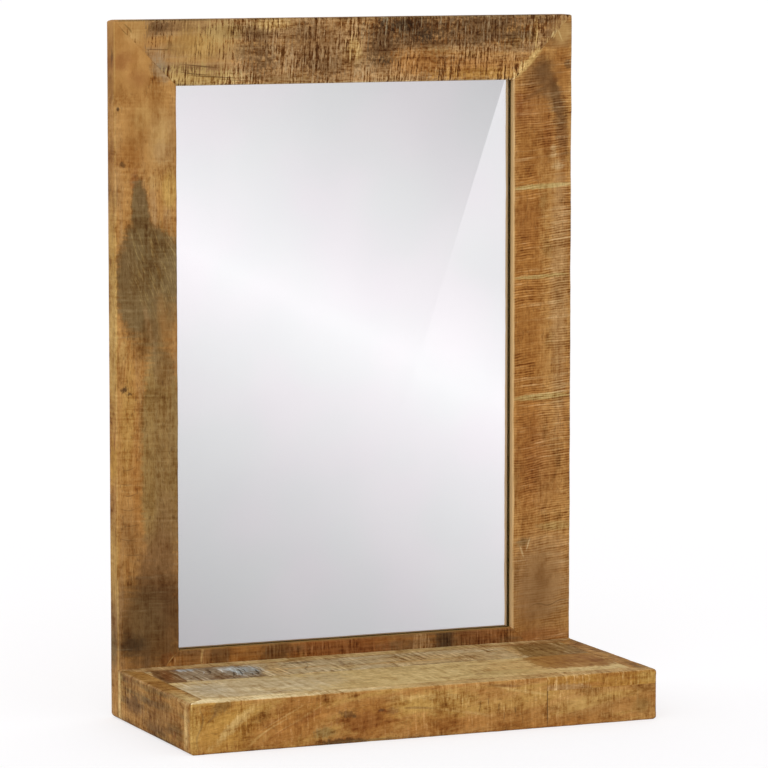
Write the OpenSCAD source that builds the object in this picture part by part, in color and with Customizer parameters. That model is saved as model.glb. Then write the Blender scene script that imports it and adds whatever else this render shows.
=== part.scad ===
// Wall mirror in a mitred frame of rough solid wood, with a hollow box shelf at its foot.
// Millimetres. X runs across the mirror, Y into the wall, Z up.
// The origin is on the wall plane, at the middle of the frame's bottom edge.

/* [Frame] */
// Width of the frame, outside
frame_w = 500; // [360:10:800]
// Height of the frame, outside
frame_h = 700; // [450:10:1200]
// Thickness of the frame boards
frame_t = 20; // [18:1:30]
// Face width of the rails and stiles
rail_w = 66; // [55:1:100]
// Radius of the frame's worn front arrises
arris_r = 2.5; // [1:0.5:4]
// Radius of the frame's four outer corners, seen from the front
corner_r = 4; // [1:0.5:10]

/* [Mitre joints] */
// Diameter of the dowels across the frame's mitres
dowel_d = 8; // [6:1:10]
// Length of the dowels
dowel_len = 30; // [24:1:36]
// Wood left round a dowel's end
dowel_cover = 5; // [3:0.5:8]

/* [Mirror and back] */
// Thickness of the mirror's glass
glass_t = 4.8; // [3:0.1:5.8]
// Thickness of the silver coat and its paint
silver_t = 0.2; // [0.1:0.1:0.4]
// Thickness of the packing sheet behind the mirror
packing_t = 3; // [2:0.5:4]
// Thickness of the plywood backing board
board_t = 4; // [3:0.5:6]
// How far the mirror's rebate is cut back from the sight edge
glass_rebate_w = 10; // [6:1:14]
// How far the backing board's rebate is cut back from the sight edge
board_rebate_w = 20; // [17:1:26]
// Gap round the mirror in its rebate
glass_gap = 1.5; // [0.5:0.5:2.5]
// Gap round the backing board
board_gap = 0.5; // [0.3:0.1:1.5]

/* [Keyhole plates] */
// Width of a keyhole plate
plate_w = 20; // [18:1:24]
// Height of a keyhole plate
plate_h = 50; // [46:1:60]
// Thickness of a keyhole plate
plate_t = 1.5; // [1:0.5:2]
// Diameter of the keyhole's entry
entry_d = 9; // [8:0.5:11]
// Width of the keyhole's slot
slot_w = 4.5; // [4:0.5:5.5]
// Rise from the entry's centre to the slot's top centre
slot_rise = 10; // [8:1:14]
// Depth of the pocket for the wall screw's head, from the plate's back
pocket_depth = 7; // [6:0.5:9]
// Height of the plates' centres below the frame's top
plate_drop = 100; // [95:5:160]

/* [Shelf] */
// How far the shelf stands out from the frame
shelf_d = 205; // [140:5:300]
// Height of the shelf's sides
shelf_h = 51; // [42:1:64]
// Thickness of the shelf's side, front and back boards
shelf_board_t = 20; // [16:1:24]
// Radius of the shelf's front corners, seen from above
shelf_corner_r = 3; // [1:0.5:8]
// Distance of the butt joint in the front board from its right end
front_joint = 121; // [60:1:200]
// Height of the strip glued on top of the front board's right length
front_strip_h = 14; // [8:1:20]
// Thickness of the two slats of the shelf's top
slat_t = 12; // [8:1:16]
// Width of the top's back slat
back_slat_w = 70; // [30:1:90]
// Gap round the slats
slat_gap = 0.3; // [0.2:0.1:0.6]

/* [Inside the shelf] */
// Thickness and width of the cleats and bearers
cleat_s = 15; // [10:1:16]
// Number of bearers from front to back
bearers = 3; // [2:1:5]
// Length of a corner block's short sides
block_leg = 30; // [24:1:40]
// Thickness of the plywood bottom panel
bottom_t = 6; // [4:1:8]
// How far the bottom panel is set up from the shelf's lower edge
bottom_inset = 2; // [1:0.5:4]
// Gap round the bottom panel
bottom_gap = 0.3; // [0.2:0.1:1]

/* [Screws] */
// Diameter of the small screws
small_d = 3; // [2.5:0.5:3.5]
// Length of the screws in the backing board
small_len = 12; // [10:1:13]
// Distance of the upper and lower side screws from the sight edge's ends
side_screw_inset = 60; // [30:5:90]
// Distance of the top and bottom screws from the middle
end_screw_x = 100; // [60:5:120]
// Diameter of the screws that hold the shelf
fixing_d = 4.5; // [4:0.5:5]
// Length of the screws that hold the shelf
fixing_len = 35; // [33:1:36]
// Distance of the outermost shelf screws from the frame's ends
fixing_inset = 75; // [70:5:110]
// Number of screws that hold the shelf
fixings = 4; // [2:1:6]
// Clearance round every screw and dowel
fit = 0.1; // [0.05:0.05:0.2]

/* [Hidden] */

$fn = 48;
// Overrun of a cutting shape past the face it cuts
over = 1;

// The sight opening
sight_w = frame_w - 2 * rail_w;
sight_h = frame_h - 2 * rail_w;
// Wood in front of the glass: what the mirror, packing and backing board leave of the thickness
lip_t = frame_t - glass_t - silver_t - packing_t - board_t;
// Width of full thickness beside the backing board's rebate
full_w = rail_w - board_rebate_w;
// Middle of the shoulder that the backing board is screwed to, from the sight edge
shoulder_mid = (glass_rebate_w + board_rebate_w) / 2;

// Places of the two dowels on a mitre, as distances from both outer edges
dowel_reach = (dowel_len + dowel_d) / 2 / sqrt(2);
dowel_outer = dowel_reach + dowel_cover;
dowel_inner = rail_w - glass_rebate_w - dowel_reach - dowel_cover;

// The keyhole plates' middle, and the keyhole's entry below it
plate_x = frame_w / 2 - full_w / 2;
plate_z = frame_h - plate_drop;
entry_z = plate_z - slot_rise / 2;
// The pocket is this much wider than the entry on each side
pocket_margin = 1.5;
// A plate's screws are this far in from its ends
plate_screw_inset = 6;

// A screw's blunt point as a share of its radius, and its cross recess as shares of its diameter
point_share = 0.2;
drive_length_share = 1.2;
drive_width_share = 0.3;
drive_depth_share = 0.35;

// The shelf, behind and before
shelf_back = -frame_t;
shelf_front = -frame_t - shelf_d;
inner_back = shelf_back - shelf_board_t;
inner_front = shelf_front + shelf_board_t;
inner_w = frame_w - 2 * shelf_board_t;
inner_d = inner_back - inner_front;
joint_x = frame_w / 2 - front_joint;
slat_z = shelf_h - slat_t;
cleat_z = slat_z - cleat_s;
bottom_top = bottom_inset + bottom_t;
block_h = cleat_z - bottom_top;
// Screws in the corner blocks stop inside them, and stand a third of a leg from both sides
bottom_screw_len = bottom_t + 0.6 * block_h;
block_screw = block_leg / 3;
// The shelf's screws are at half its height
fixing_z = shelf_h / 2;

WOOD_LIGHT = [0.76, 0.58, 0.36];
WOOD_MID = [0.64, 0.44, 0.24];
WOOD_DARK = [0.47, 0.30, 0.16];
WOOD_GREY = [0.66, 0.58, 0.46];
PINE = [0.84, 0.72, 0.52];
PLYWOOD = [0.78, 0.66, 0.48];
STEEL = [0.72, 0.72, 0.70];

// ---- Shapes that several pieces share ----

// What rounding takes off a square corner at the origin, with the wood towards +X and +Y
module corner_waste(r) {
    difference() {
        translate([-over, -over]) square(r + over);
        translate([r, r]) circle(r);
    }
}

// Section of a frame board: X from the outer edge to the sight edge, Y from the front to the back
module frame_section() {
    difference() {
        square([rail_w, frame_t]);
        corner_waste(arris_r);
        translate([rail_w, 0]) mirror([1, 0]) corner_waste(arris_r);
        translate([rail_w - glass_rebate_w, lip_t]) square([glass_rebate_w + over, frame_t]);
        translate([rail_w - board_rebate_w, frame_t - board_t])
            square([board_rebate_w + over, board_t + over]);
    }
}

// The frame's outline from the front, with its corners rounded
module frame_outline() {
    difference() {
        translate([-frame_w / 2, 0]) square([frame_w, frame_h]);
        for (side = [-1, 1])
            for (end = [0, 1])
                translate([side * frame_w / 2, end * frame_h])
                    mirror([side > 0 ? 1 : 0, 0]) mirror([0, end]) corner_waste(corner_r);
    }
}

// A board upright along Z, its ends cut to the mitres between the given outer and sight edges
module mitred(outer_edge, sight_edge) {
    intersection() {
        children();
        rotate([90, 0, 0]) linear_extrude(frame_t) intersection() {
            polygon(concat(outer_edge, sight_edge));
            frame_outline();
        }
    }
}

// A countersunk wood screw: head at Z = 0, blunt point down; grown by a clearance it makes its hole
module screw_body(d, length, clearance = 0) {
    r = d / 2;
    point_r = r * point_share + clearance;
    top = clearance > 0 ? over : 0;
    rotate_extrude() polygon([
        [0, top], [d + clearance, top], [d + clearance, 0], [r + clearance, -r],
        [r + clearance, -length + r], [point_r, -length - clearance], [0, -length - clearance]
    ]);
}

module screw(d, length) {
    drive_l = d * drive_length_share;
    drive_w = d * drive_width_share;
    difference() {
        screw_body(d, length);
        for (turn = [0, 90])
            rotate([0, 0, turn])
                translate([-drive_l / 2, -drive_w / 2, -d * drive_depth_share])
                    cube([drive_l, drive_w, d]);
    }
}

// Places for the screws: every module below puts its children there, heads outwards

module at_backing_screws() {
    side_x = sight_w / 2 + shoulder_mid;
    for (x = [-side_x, side_x])
        for (z = [rail_w + side_screw_inset, frame_h / 2, frame_h - rail_w - side_screw_inset])
            translate([x, 0, z]) rotate([-90, 0, 0]) children();
    for (x = [-end_screw_x, end_screw_x])
        for (z = [rail_w - shoulder_mid, frame_h - rail_w + shoulder_mid])
            translate([x, 0, z]) rotate([-90, 0, 0]) children();
}

module at_plate_screws() {
    for (x = [-plate_x, plate_x])
        for (dz = [-1, 1])
            translate([x, 0, plate_z + dz * (plate_h / 2 - plate_screw_inset)])
                rotate([-90, 0, 0]) children();
}

module at_fixing_screws() {
    pitch = (frame_w - 2 * fixing_inset) / (fixings - 1);
    for (i = [0 : fixings - 1])
        translate([-frame_w / 2 + fixing_inset + i * pitch, 0, fixing_z])
            rotate([-90, 0, 0]) children();
}

module at_bottom_screws() {
    for (x = [-inner_w / 2 + block_screw, inner_w / 2 - block_screw])
        for (y = [inner_front + block_screw, inner_back - block_screw])
            translate([x, y, bottom_inset]) rotate([180, 0, 0]) children();
}

// Dowels across the four mitres; grown by a clearance they make their holes
module mitre_dowels(clearance = 0) {
    for (side = [-1, 1])
        for (end = [-1, 1])
            for (inset = [dowel_outer, dowel_inner])
                translate([side * (frame_w / 2 - inset), -frame_t / 2,
                           frame_h / 2 + end * (frame_h / 2 - inset)])
                    rotate([0, -side * end * 45, 0])
                        cylinder(h = dowel_len + 2 * clearance, r = dowel_d / 2 + clearance,
                                 center = true);
}

// ---- Frame ----

// Everything that is let into the frame's boards from their backs and ends
module frame_cuts() {
    mitre_dowels(fit);
    at_backing_screws() screw_body(small_d, small_len, fit);
    at_plate_screws() screw_body(small_d, small_len, fit);
    at_fixing_screws() screw_body(fixing_d, fixing_len, fit);
    for (x = [-plate_x, plate_x])
        translate([x, 0, 0]) {
            plate_blank(fit, over);
            keyhole_pocket();
        }
}

module stile() {
    edge = frame_w / 2;
    difference() {
        mitred([[-edge, 0], [-edge, frame_h]],
               [[-edge + rail_w, frame_h - rail_w], [-edge + rail_w, rail_w]])
            translate([-edge, -frame_t, 0]) linear_extrude(frame_h) frame_section();
        frame_cuts();
    }
}

module rail() {
    edge = frame_w / 2;
    mitred([[-edge, frame_h], [edge, frame_h]],
           [[edge - rail_w, frame_h - rail_w], [-edge + rail_w, frame_h - rail_w]])
        translate([-edge, -frame_t, frame_h]) rotate([0, 90, 0])
            linear_extrude(frame_w) frame_section();
}

module frame_top_rail() {
    color(WOOD_MID) difference() {
        rail();
        frame_cuts();
    }
}

module frame_bottom_rail() {
    color(WOOD_DARK) difference() {
        translate([0, 0, frame_h]) mirror([0, 0, 1]) rail();
        frame_cuts();
    }
}

module frame_left_stile() {
    color(WOOD_MID) stile();
}

module frame_right_stile() {
    color(WOOD_LIGHT) mirror([1, 0, 0]) stile();
}

module frame_mitre_dowels() {
    color(PINE) mitre_dowels();
}

// ---- Mirror and back ----

// A sheet over the sight opening: how far it laps the frame, where its front is, its thickness
module sheet(lap, front, thickness) {
    translate([-sight_w / 2 - lap, front, rail_w - lap])
        cube([sight_w + 2 * lap, thickness, sight_h + 2 * lap]);
}

glass_lap = glass_rebate_w - glass_gap;
silver_front = -board_t - packing_t - silver_t;

module mirror_glass() {
    color([0.80, 0.86, 0.87, 0.6]) sheet(glass_lap, silver_front - glass_t, glass_t);
}

module mirror_silvering() {
    color([0.86, 0.87, 0.88]) sheet(glass_lap, silver_front, silver_t);
}

module packing_sheet() {
    color([0.70, 0.56, 0.38]) sheet(glass_lap, -board_t - packing_t, packing_t);
}

module backing_board() {
    color(PLYWOOD) difference() {
        sheet(board_rebate_w - board_gap, -board_t, board_t);
        at_backing_screws() screw_body(small_d, small_len, fit);
    }
}

module backing_screws() {
    color(STEEL) at_backing_screws() screw(small_d, small_len);
}

// ---- Keyhole plates ----

// A plate lying in its recess, flush with the frame's back, drawn on the frame's middle line
module plate_blank(clearance = 0, proud = 0) {
    w = plate_w + 2 * clearance;
    straight = plate_h - plate_w;
    rotate([90, 0, 0]) translate([0, plate_z, -proud]) linear_extrude(plate_t + proud) {
        square([w, straight], center = true);
        for (end = [-1, 1])
            translate([0, end * straight / 2]) circle(w / 2);
    }
}

// The hollow that takes the wall screw's head behind the plate
module keyhole_pocket() {
    r = entry_d / 2 + pocket_margin;
    rotate([90, 0, 0]) linear_extrude(plate_t + pocket_depth) {
        translate([-r, entry_z]) square([2 * r, slot_rise]);
        for (z = [entry_z, entry_z + slot_rise])
            translate([0, z]) circle(r);
    }
}

module keyhole() {
    rotate([90, 0, 0]) translate([0, 0, -over]) linear_extrude(plate_t + 2 * over) {
        translate([0, entry_z]) circle(entry_d / 2);
        translate([-slot_w / 2, entry_z]) square([slot_w, slot_rise]);
        translate([0, entry_z + slot_rise]) circle(slot_w / 2);
    }
}

module keyhole_plate(side) {
    color(STEEL) difference() {
        translate([side * plate_x, 0, 0]) difference() {
            plate_blank();
            keyhole();
        }
        at_plate_screws() screw_body(small_d, small_len, fit);
    }
}

module left_keyhole_plate() {
    keyhole_plate(-1);
}

module right_keyhole_plate() {
    keyhole_plate(1);
}

module keyhole_plate_screws() {
    color(STEEL) at_plate_screws() screw(small_d, small_len);
}

// ---- Shelf box ----

// The shelf's outline from above, its two front corners rounded
module shelf_outline() {
    difference() {
        translate([-frame_w / 2, shelf_front]) square([frame_w, shelf_d]);
        for (side = [-1, 1])
            translate([side * frame_w / 2, shelf_front])
                mirror([side > 0 ? 1 : 0, 0]) corner_waste(shelf_corner_r);
    }
}

// Section of an outer board of the shelf: X inwards from its face, Y up
module shelf_section() {
    difference() {
        square([shelf_board_t, shelf_h]);
        corner_waste(arris_r);
        translate([0, shelf_h]) mirror([0, 1]) corner_waste(arris_r);
    }
}

// A board of the shelf box, its ends cut to the mitres of the given outline from above
module box_board(points) {
    intersection() {
        children();
        linear_extrude(shelf_h) intersection() {
            polygon(points);
            shelf_outline();
        }
    }
}

// The whole front board, before it is divided into its glued lengths
module front_blank() {
    edge = frame_w / 2;
    box_board([[-edge, shelf_front], [edge, shelf_front],
               [inner_w / 2, inner_front], [-inner_w / 2, inner_front]])
        translate([edge, shelf_front, 0]) rotate([90, 0, -90]) mirror([1, 0, 0])
            linear_extrude(frame_w) shelf_section();
}

module shelf_front_board_left() {
    color(WOOD_MID) intersection() {
        front_blank();
        translate([-frame_w, shelf_front, 0]) cube([frame_w + joint_x, shelf_board_t, shelf_h]);
    }
}

module shelf_front_board_right() {
    color(WOOD_LIGHT) intersection() {
        front_blank();
        translate([joint_x, shelf_front, 0])
            cube([frame_w, shelf_board_t, shelf_h - front_strip_h]);
    }
}

module shelf_front_strip() {
    color([0.74, 0.58, 0.28]) intersection() {
        front_blank();
        translate([joint_x, shelf_front, shelf_h - front_strip_h])
            cube([frame_w, shelf_board_t, front_strip_h]);
    }
}

module side_board() {
    edge = frame_w / 2;
    box_board([[-edge, shelf_front], [-inner_w / 2, inner_front],
               [-inner_w / 2, inner_back], [-edge, shelf_back]])
        translate([-edge, shelf_back, 0]) rotate([90, 0, 0])
            linear_extrude(shelf_d) shelf_section();
}

module shelf_left_board() {
    color(WOOD_DARK) side_board();
}

module shelf_right_board() {
    color(WOOD_MID) mirror([1, 0, 0]) side_board();
}

module shelf_back_board() {
    edge = frame_w / 2;
    color(WOOD_LIGHT) difference() {
        linear_extrude(shelf_h)
            polygon([[-edge, shelf_back], [edge, shelf_back],
                     [inner_w / 2, inner_back], [-inner_w / 2, inner_back]]);
        at_fixing_screws() screw_body(fixing_d, fixing_len, fit);
    }
}

module slat(front, width) {
    translate([-inner_w / 2 + slat_gap, front, slat_z])
        cube([inner_w - 2 * slat_gap, width, slat_t]);
}

module shelf_front_slat() {
    color(WOOD_LIGHT)
        slat(inner_front + slat_gap, inner_d - back_slat_w - 2 * slat_gap);
}

module shelf_back_slat() {
    color(WOOD_GREY) slat(inner_back - back_slat_w - slat_gap, back_slat_w);
}

// ---- Inside the shelf ----

module cleat(front) {
    color(PINE) translate([-inner_w / 2, front, cleat_z]) cube([inner_w, cleat_s, cleat_s]);
}

module shelf_front_cleat() {
    cleat(inner_front);
}

module shelf_back_cleat() {
    cleat(inner_back - cleat_s);
}

module shelf_bearers() {
    pitch = (inner_w - cleat_s) / (bearers - 1);
    color(PINE) for (i = [0 : bearers - 1])
        translate([-inner_w / 2 + i * pitch, inner_front + cleat_s, cleat_z])
            cube([cleat_s, inner_d - 2 * cleat_s, cleat_s]);
}

module shelf_corner_blocks() {
    middle_y = (inner_front + inner_back) / 2;
    color(PINE) difference() {
        for (side = [0, 1])
            for (end = [0, 1])
                mirror([side, 0, 0]) translate([0, middle_y, bottom_top]) mirror([0, end, 0])
                    translate([-inner_w / 2, -inner_d / 2, 0]) linear_extrude(block_h)
                        polygon([[0, 0], [block_leg, 0], [0, block_leg]]);
        at_bottom_screws() screw_body(small_d, bottom_screw_len, fit);
    }
}

module shelf_bottom_panel() {
    color(PLYWOOD) difference() {
        translate([-inner_w / 2 + bottom_gap, inner_front + bottom_gap, bottom_inset])
            cube([inner_w - 2 * bottom_gap, inner_d - 2 * bottom_gap, bottom_t]);
        at_bottom_screws() screw_body(small_d, bottom_screw_len, fit);
    }
}

module shelf_bottom_screws() {
    color(STEEL) at_bottom_screws() screw(small_d, bottom_screw_len);
}

module shelf_fixing_screws() {
    color(STEEL) at_fixing_screws() screw(fixing_d, fixing_len);
}

frame_top_rail();
frame_bottom_rail();
frame_left_stile();
frame_right_stile();
frame_mitre_dowels();
mirror_glass();
mirror_silvering();
packing_sheet();
backing_board();
backing_screws();
left_keyhole_plate();
right_keyhole_plate();
keyhole_plate_screws();
shelf_front_board_left();
shelf_front_board_right();
shelf_front_strip();
shelf_left_board();
shelf_right_board();
shelf_back_board();
shelf_front_slat();
shelf_back_slat();
shelf_front_cleat();
shelf_back_cleat();
shelf_bearers();
shelf_corner_blocks();
shelf_bottom_panel();
shelf_bottom_screws();
shelf_fixing_screws();
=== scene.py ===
# %% [markdown]
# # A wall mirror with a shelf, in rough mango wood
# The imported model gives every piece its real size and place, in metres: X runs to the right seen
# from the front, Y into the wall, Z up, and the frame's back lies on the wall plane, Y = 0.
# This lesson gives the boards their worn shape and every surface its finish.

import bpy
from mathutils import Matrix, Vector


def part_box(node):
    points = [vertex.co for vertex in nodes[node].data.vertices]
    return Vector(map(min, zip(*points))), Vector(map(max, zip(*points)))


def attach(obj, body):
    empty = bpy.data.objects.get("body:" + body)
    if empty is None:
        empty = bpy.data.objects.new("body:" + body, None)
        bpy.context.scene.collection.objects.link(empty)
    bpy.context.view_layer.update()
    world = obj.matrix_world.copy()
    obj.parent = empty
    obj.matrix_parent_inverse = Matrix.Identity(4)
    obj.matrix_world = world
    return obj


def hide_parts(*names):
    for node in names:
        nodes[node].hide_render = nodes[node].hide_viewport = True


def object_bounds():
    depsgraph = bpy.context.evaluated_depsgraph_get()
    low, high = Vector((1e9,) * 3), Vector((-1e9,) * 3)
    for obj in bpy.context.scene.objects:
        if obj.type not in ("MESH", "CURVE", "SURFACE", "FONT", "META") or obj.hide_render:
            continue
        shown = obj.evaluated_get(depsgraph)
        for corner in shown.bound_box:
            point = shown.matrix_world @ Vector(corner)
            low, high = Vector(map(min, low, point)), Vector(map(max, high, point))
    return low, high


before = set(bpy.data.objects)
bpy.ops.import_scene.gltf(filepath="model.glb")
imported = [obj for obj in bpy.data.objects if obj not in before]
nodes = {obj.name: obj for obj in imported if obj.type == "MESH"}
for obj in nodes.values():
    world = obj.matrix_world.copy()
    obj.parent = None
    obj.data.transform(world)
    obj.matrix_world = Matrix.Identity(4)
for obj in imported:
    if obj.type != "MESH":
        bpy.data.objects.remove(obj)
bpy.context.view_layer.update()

import math

import bmesh
import bpy
from mathutils import Vector, noise

# %% [markdown]
# ## Measures
# All lengths below are in metres, as the model is. The sizes of the boards come from the model's
# own boxes, so that a change of size there needs no change here. The depths of the two rebates
# behind the sight edge come from the sheets that lie in them. A hair is the gap that keeps two
# faces from sharing a plane, and what lies closer than CLOSE counts as being at the same place.

# %% Sizes that the boards share
MM = 0.001
frame_low, frame_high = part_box("frame_left_stile")
RAIL_W = frame_high.x - frame_low.x
FRAME_T = frame_high.y - frame_low.y
HALF_W = -frame_low.x
shelf_low, shelf_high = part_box("shelf_front_board_left")
SHELF_FRONT = shelf_low.y
SHELF_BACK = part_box("shelf_back_board")[1].y
SHELF_H = shelf_high.z
BOARD_T = shelf_high.y - shelf_low.y
FRAME_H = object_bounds()[1].z
HALF_H = FRAME_H / 2
MIDDLE = Vector((0, 0, HALF_H))
HAIR = 0.05 * MM
CLOSE = 0.1 * MM
GLASS_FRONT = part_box("mirror_glass")[0].y - HAIR
BOARD_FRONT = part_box("backing_board")[0].y
SIGHT_X = HALF_W - RAIL_W
GLASS_LAP = 10 * MM
BOARD_LAP = 20 * MM
print("rail", RAIL_W, "thick", FRAME_T, "half width", HALF_W, "height", FRAME_H)
print("shelf from", SHELF_FRONT, "to", SHELF_BACK, "height", SHELF_H, "board", BOARD_T)

# %% [markdown]
# ## Tools for modelling
# Every board is modelled as a joiner would saw it: a block of the right size, cut to its mitres,
# stepped at the back for the glass, its arrises rounded, and then worn. The operators work on
# what is selected, so these helpers first let go of everything, and then take hold of faces,
# edges or corners by where they are.

# %% Blocks, picks and cuts
WELD = 0.01 * MM
PARALLEL = 0.999
MOST_PARTS = 13


def let_go():
    """Deselect every object."""
    for thing in bpy.context.selected_objects:
        thing.select_set(False)


def block(name, low, high):
    """A block between two corners, its object at the origin and its place in its mesh, in edit mode."""
    let_go()
    low, high = Vector(low), Vector(high)
    bpy.ops.mesh.primitive_cube_add(size=1, calc_uvs=False, location=(low + high) / 2, scale=high - low)
    piece = bpy.context.active_object
    piece.name = name
    piece.data.name = name
    bpy.ops.object.transform_apply(location=True, rotation=True, scale=True)
    bpy.ops.object.mode_set(mode="EDIT")
    return piece


def pick(piece, kind, wanted):
    """Select the faces, edges or verts of a piece in edit mode for which wanted is true."""
    bpy.ops.mesh.select_all(action="DESELECT")
    bpy.ops.mesh.select_mode(type={"faces": "FACE", "edges": "EDGE", "verts": "VERT"}[kind])
    shape = bmesh.from_edit_mesh(piece.data)
    for part in getattr(shape, kind):
        if wanted(part):
            part.select_set(True)
    shape.select_flush_mode()
    bmesh.update_edit_mesh(piece.data)


def slice_at(point, normal):
    """Cut the whole mesh in edit mode along a plane, and keep both sides."""
    bpy.ops.mesh.select_all(action="SELECT")
    bpy.ops.mesh.bisect(plane_co=point, plane_no=normal)


def saw_off(point, normal):
    """Cut the mesh in edit mode along a plane, and take away the side that the normal points to."""
    bpy.ops.mesh.select_all(action="SELECT")
    bpy.ops.mesh.bisect(plane_co=point, plane_no=normal, use_fill=True, clear_outer=True)


def divide_along(piece, direction, step):
    """Divide every edge that runs along a direction, a few cuts at a time, down to about one step."""
    def runs_along(edge):
        way = edge.verts[1].co - edge.verts[0].co
        return abs(way.normalized().dot(direction)) > PARALLEL

    def longest():
        shape = bmesh.from_edit_mesh(piece.data)
        return max(edge.calc_length() for edge in shape.edges if runs_along(edge))

    while longest() > 1.5 * step:
        parts = min(round(longest() / step), MOST_PARTS)
        pick(piece, "edges", runs_along)
        bpy.ops.mesh.subdivide(number_cuts=parts - 1)


def leave_edit(piece):
    """Close the mesh up, turn its faces outwards and go back to object mode."""
    bpy.ops.mesh.select_all(action="SELECT")
    bpy.ops.mesh.remove_doubles(threshold=WELD)
    bpy.ops.mesh.normals_make_consistent(inside=False)
    bpy.ops.object.mode_set(mode="OBJECT")
    print(piece.name, len(piece.data.vertices), "corners", len(piece.data.polygons), "faces")


# %% [markdown]
# ## Wear
# A new board has a straight arris of one radius. This one was handled, stacked and waxed, so its
# arris swells and shrinks along its length, has small dents, and its faces still wave a little
# from the saw. A Bevel modifier would give every edge the same round. Instead each corner of the
# mesh near an edge is moved in code, by noise that depends only on where it is, so that two
# boards that meet are worn alike at their joint. Corners only ever move into the wood.

# %% Worn edges and faces
ARRIS = 2.6 * MM
SLOW_SWELL, SLOW_LENGTH = 0.45, 34 * MM
FINE_SWELL, FINE_LENGTH = 0.25, 9 * MM
DENT, DENT_LENGTH = 1.1 * MM, 5 * MM
DENT_FROM, DENT_RISE = 0.42, 0.5
WAVE, WAVE_LENGTH = 0.22 * MM, 45 * MM
FLUSH = 0.02 * MM
JOINT_EASE = 0.35 * MM
SHARP = math.radians(32)


def rough(place, size):
    """Smooth noise from -1 to 1 with lumps of a size."""
    return noise.noise(place / size)


def arris_radius(place):
    """Radius of the worn arris here: slow swelling, and now and then a dent."""
    swell = SLOW_SWELL * rough(place, SLOW_LENGTH) + FINE_SWELL * rough(place, FINE_LENGTH)
    dent = max(rough(-place, DENT_LENGTH) - DENT_FROM, 0) / DENT_RISE
    return ARRIS * (1 + swell) + DENT * dent


def inset_pair(place, first, second):
    """How far a place lies inside two faces, each given as (point on it, outward normal)."""
    return [(point - place).dot(normal) for point, normal in (first, second)]


def wear_edges(piece, pairs):
    """Round the edges between pairs of faces with a radius that changes along them."""
    for corner in piece.data.vertices:
        for first, second in pairs:
            a, b = inset_pair(corner.co, first, second)
            on_arris = corner.co + a * first[1] + b * second[1]
            radius = arris_radius(on_arris)
            if -MM < a < radius and -MM < b < radius:
                reach = math.hypot(radius - a, radius - b)
                if reach > radius:
                    pull = 1 - radius / reach
                    corner.co -= first[1] * (radius - a) * pull + second[1] * (radius - b) * pull


def on_plane(corner, face):
    point, normal = face
    return abs((corner.co - point).dot(normal)) < FLUSH


def settle(piece, along, seams):
    """Slide worn corners along the board, back to the joint that they left."""
    for number, (point, normal) in seams:
        corner = piece.data.vertices[number]
        corner.co += along * (point - corner.co).dot(normal) / along.dot(normal)


def seam_corners(piece, joints):
    """Every corner that lies on a joint plane, with that plane."""
    return [(corner.index, joint) for corner in piece.data.vertices for joint in joints
            if on_plane(corner, joint)]


def ease_joints(piece, face, joints):
    """In edit mode, bevel a face's edges at the joints a little, so that each joint shows as a line."""
    def at_joint(edge):
        return all(on_plane(corner, face) for corner in edge.verts) and any(
            all(on_plane(corner, joint) for corner in edge.verts) for joint in joints)

    pick(piece, "edges", at_joint)
    bpy.ops.mesh.bevel(offset=JOINT_EASE, segments=1, affect="EDGES")


def round_corner(piece, corner_at, first, second, radius, stretch=1):
    """Turn the square corner between two outer faces into a round one, with all that lies in it.
    Stretch makes it longer along the first way than along the second."""
    for corner in piece.data.vertices:
        a, b = ((corner_at - corner.co).dot(way) for way in (first, second))
        a /= stretch
        if a < radius and b < radius:
            reach = math.hypot(radius - a, radius - b)
            if reach > 0:
                share = 1 - max(radius - a, radius - b) / reach
                corner.co -= (first * (radius - a) * stretch + second * (radius - b)) * share


def wave_face(piece, face, seed, depth=WAVE):
    """Let a sawn face dip into the wood by up to a depth, in long shallow waves."""
    point, normal = face
    shift = Vector((seed, seed, -seed))
    for corner in piece.data.vertices:
        if abs((corner.co - point).dot(normal)) < HAIR:
            dip = 0.5 + 0.5 * rough(corner.co + shift, WAVE_LENGTH)
            corner.co -= normal * depth * dip


def shade(piece):
    """Smooth shading, but sharp where two faces meet at more than an angle."""
    let_go()
    piece.select_set(True)
    bpy.context.view_layer.objects.active = piece
    bpy.ops.object.shade_smooth_by_angle(angle=SHARP)
    print(piece.name, "shaded, size", [round(length, 4) for length in piece.dimensions])


# %% [markdown]
# ## The four boards of the frame
# Each rail and stile is the same kind of board, so one function saws all four. It is told which
# way is outwards and which way the board runs, and starts with the full thickness beside the
# rebates. The two steps towards the mirror are extruded from its side, thinner each time, and
# the ends are sawn off along the mitres. Rows of edges close to the arrises give the wear
# something to move. The corners of the frame are rounded last, across the joint, each by its own
# radius: the lower left one is worn round, and the top slopes down a little to the upper left.

# %% Saw a frame board
FRONT = Vector((0, -1, 0))
NEAR_EDGE = [0.4, 0.9, 1.5, 2.3, 3.4, 4.8]
CORNERS = {
    (-1, 1): (2.5 * MM, 3), (1, 1): (2 * MM, 1.5),
    (-1, -1): (5.5 * MM, 1), (1, -1): (4 * MM, 1),
}
STEP = 3 * MM
FACE_STEP = 6 * MM


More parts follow.
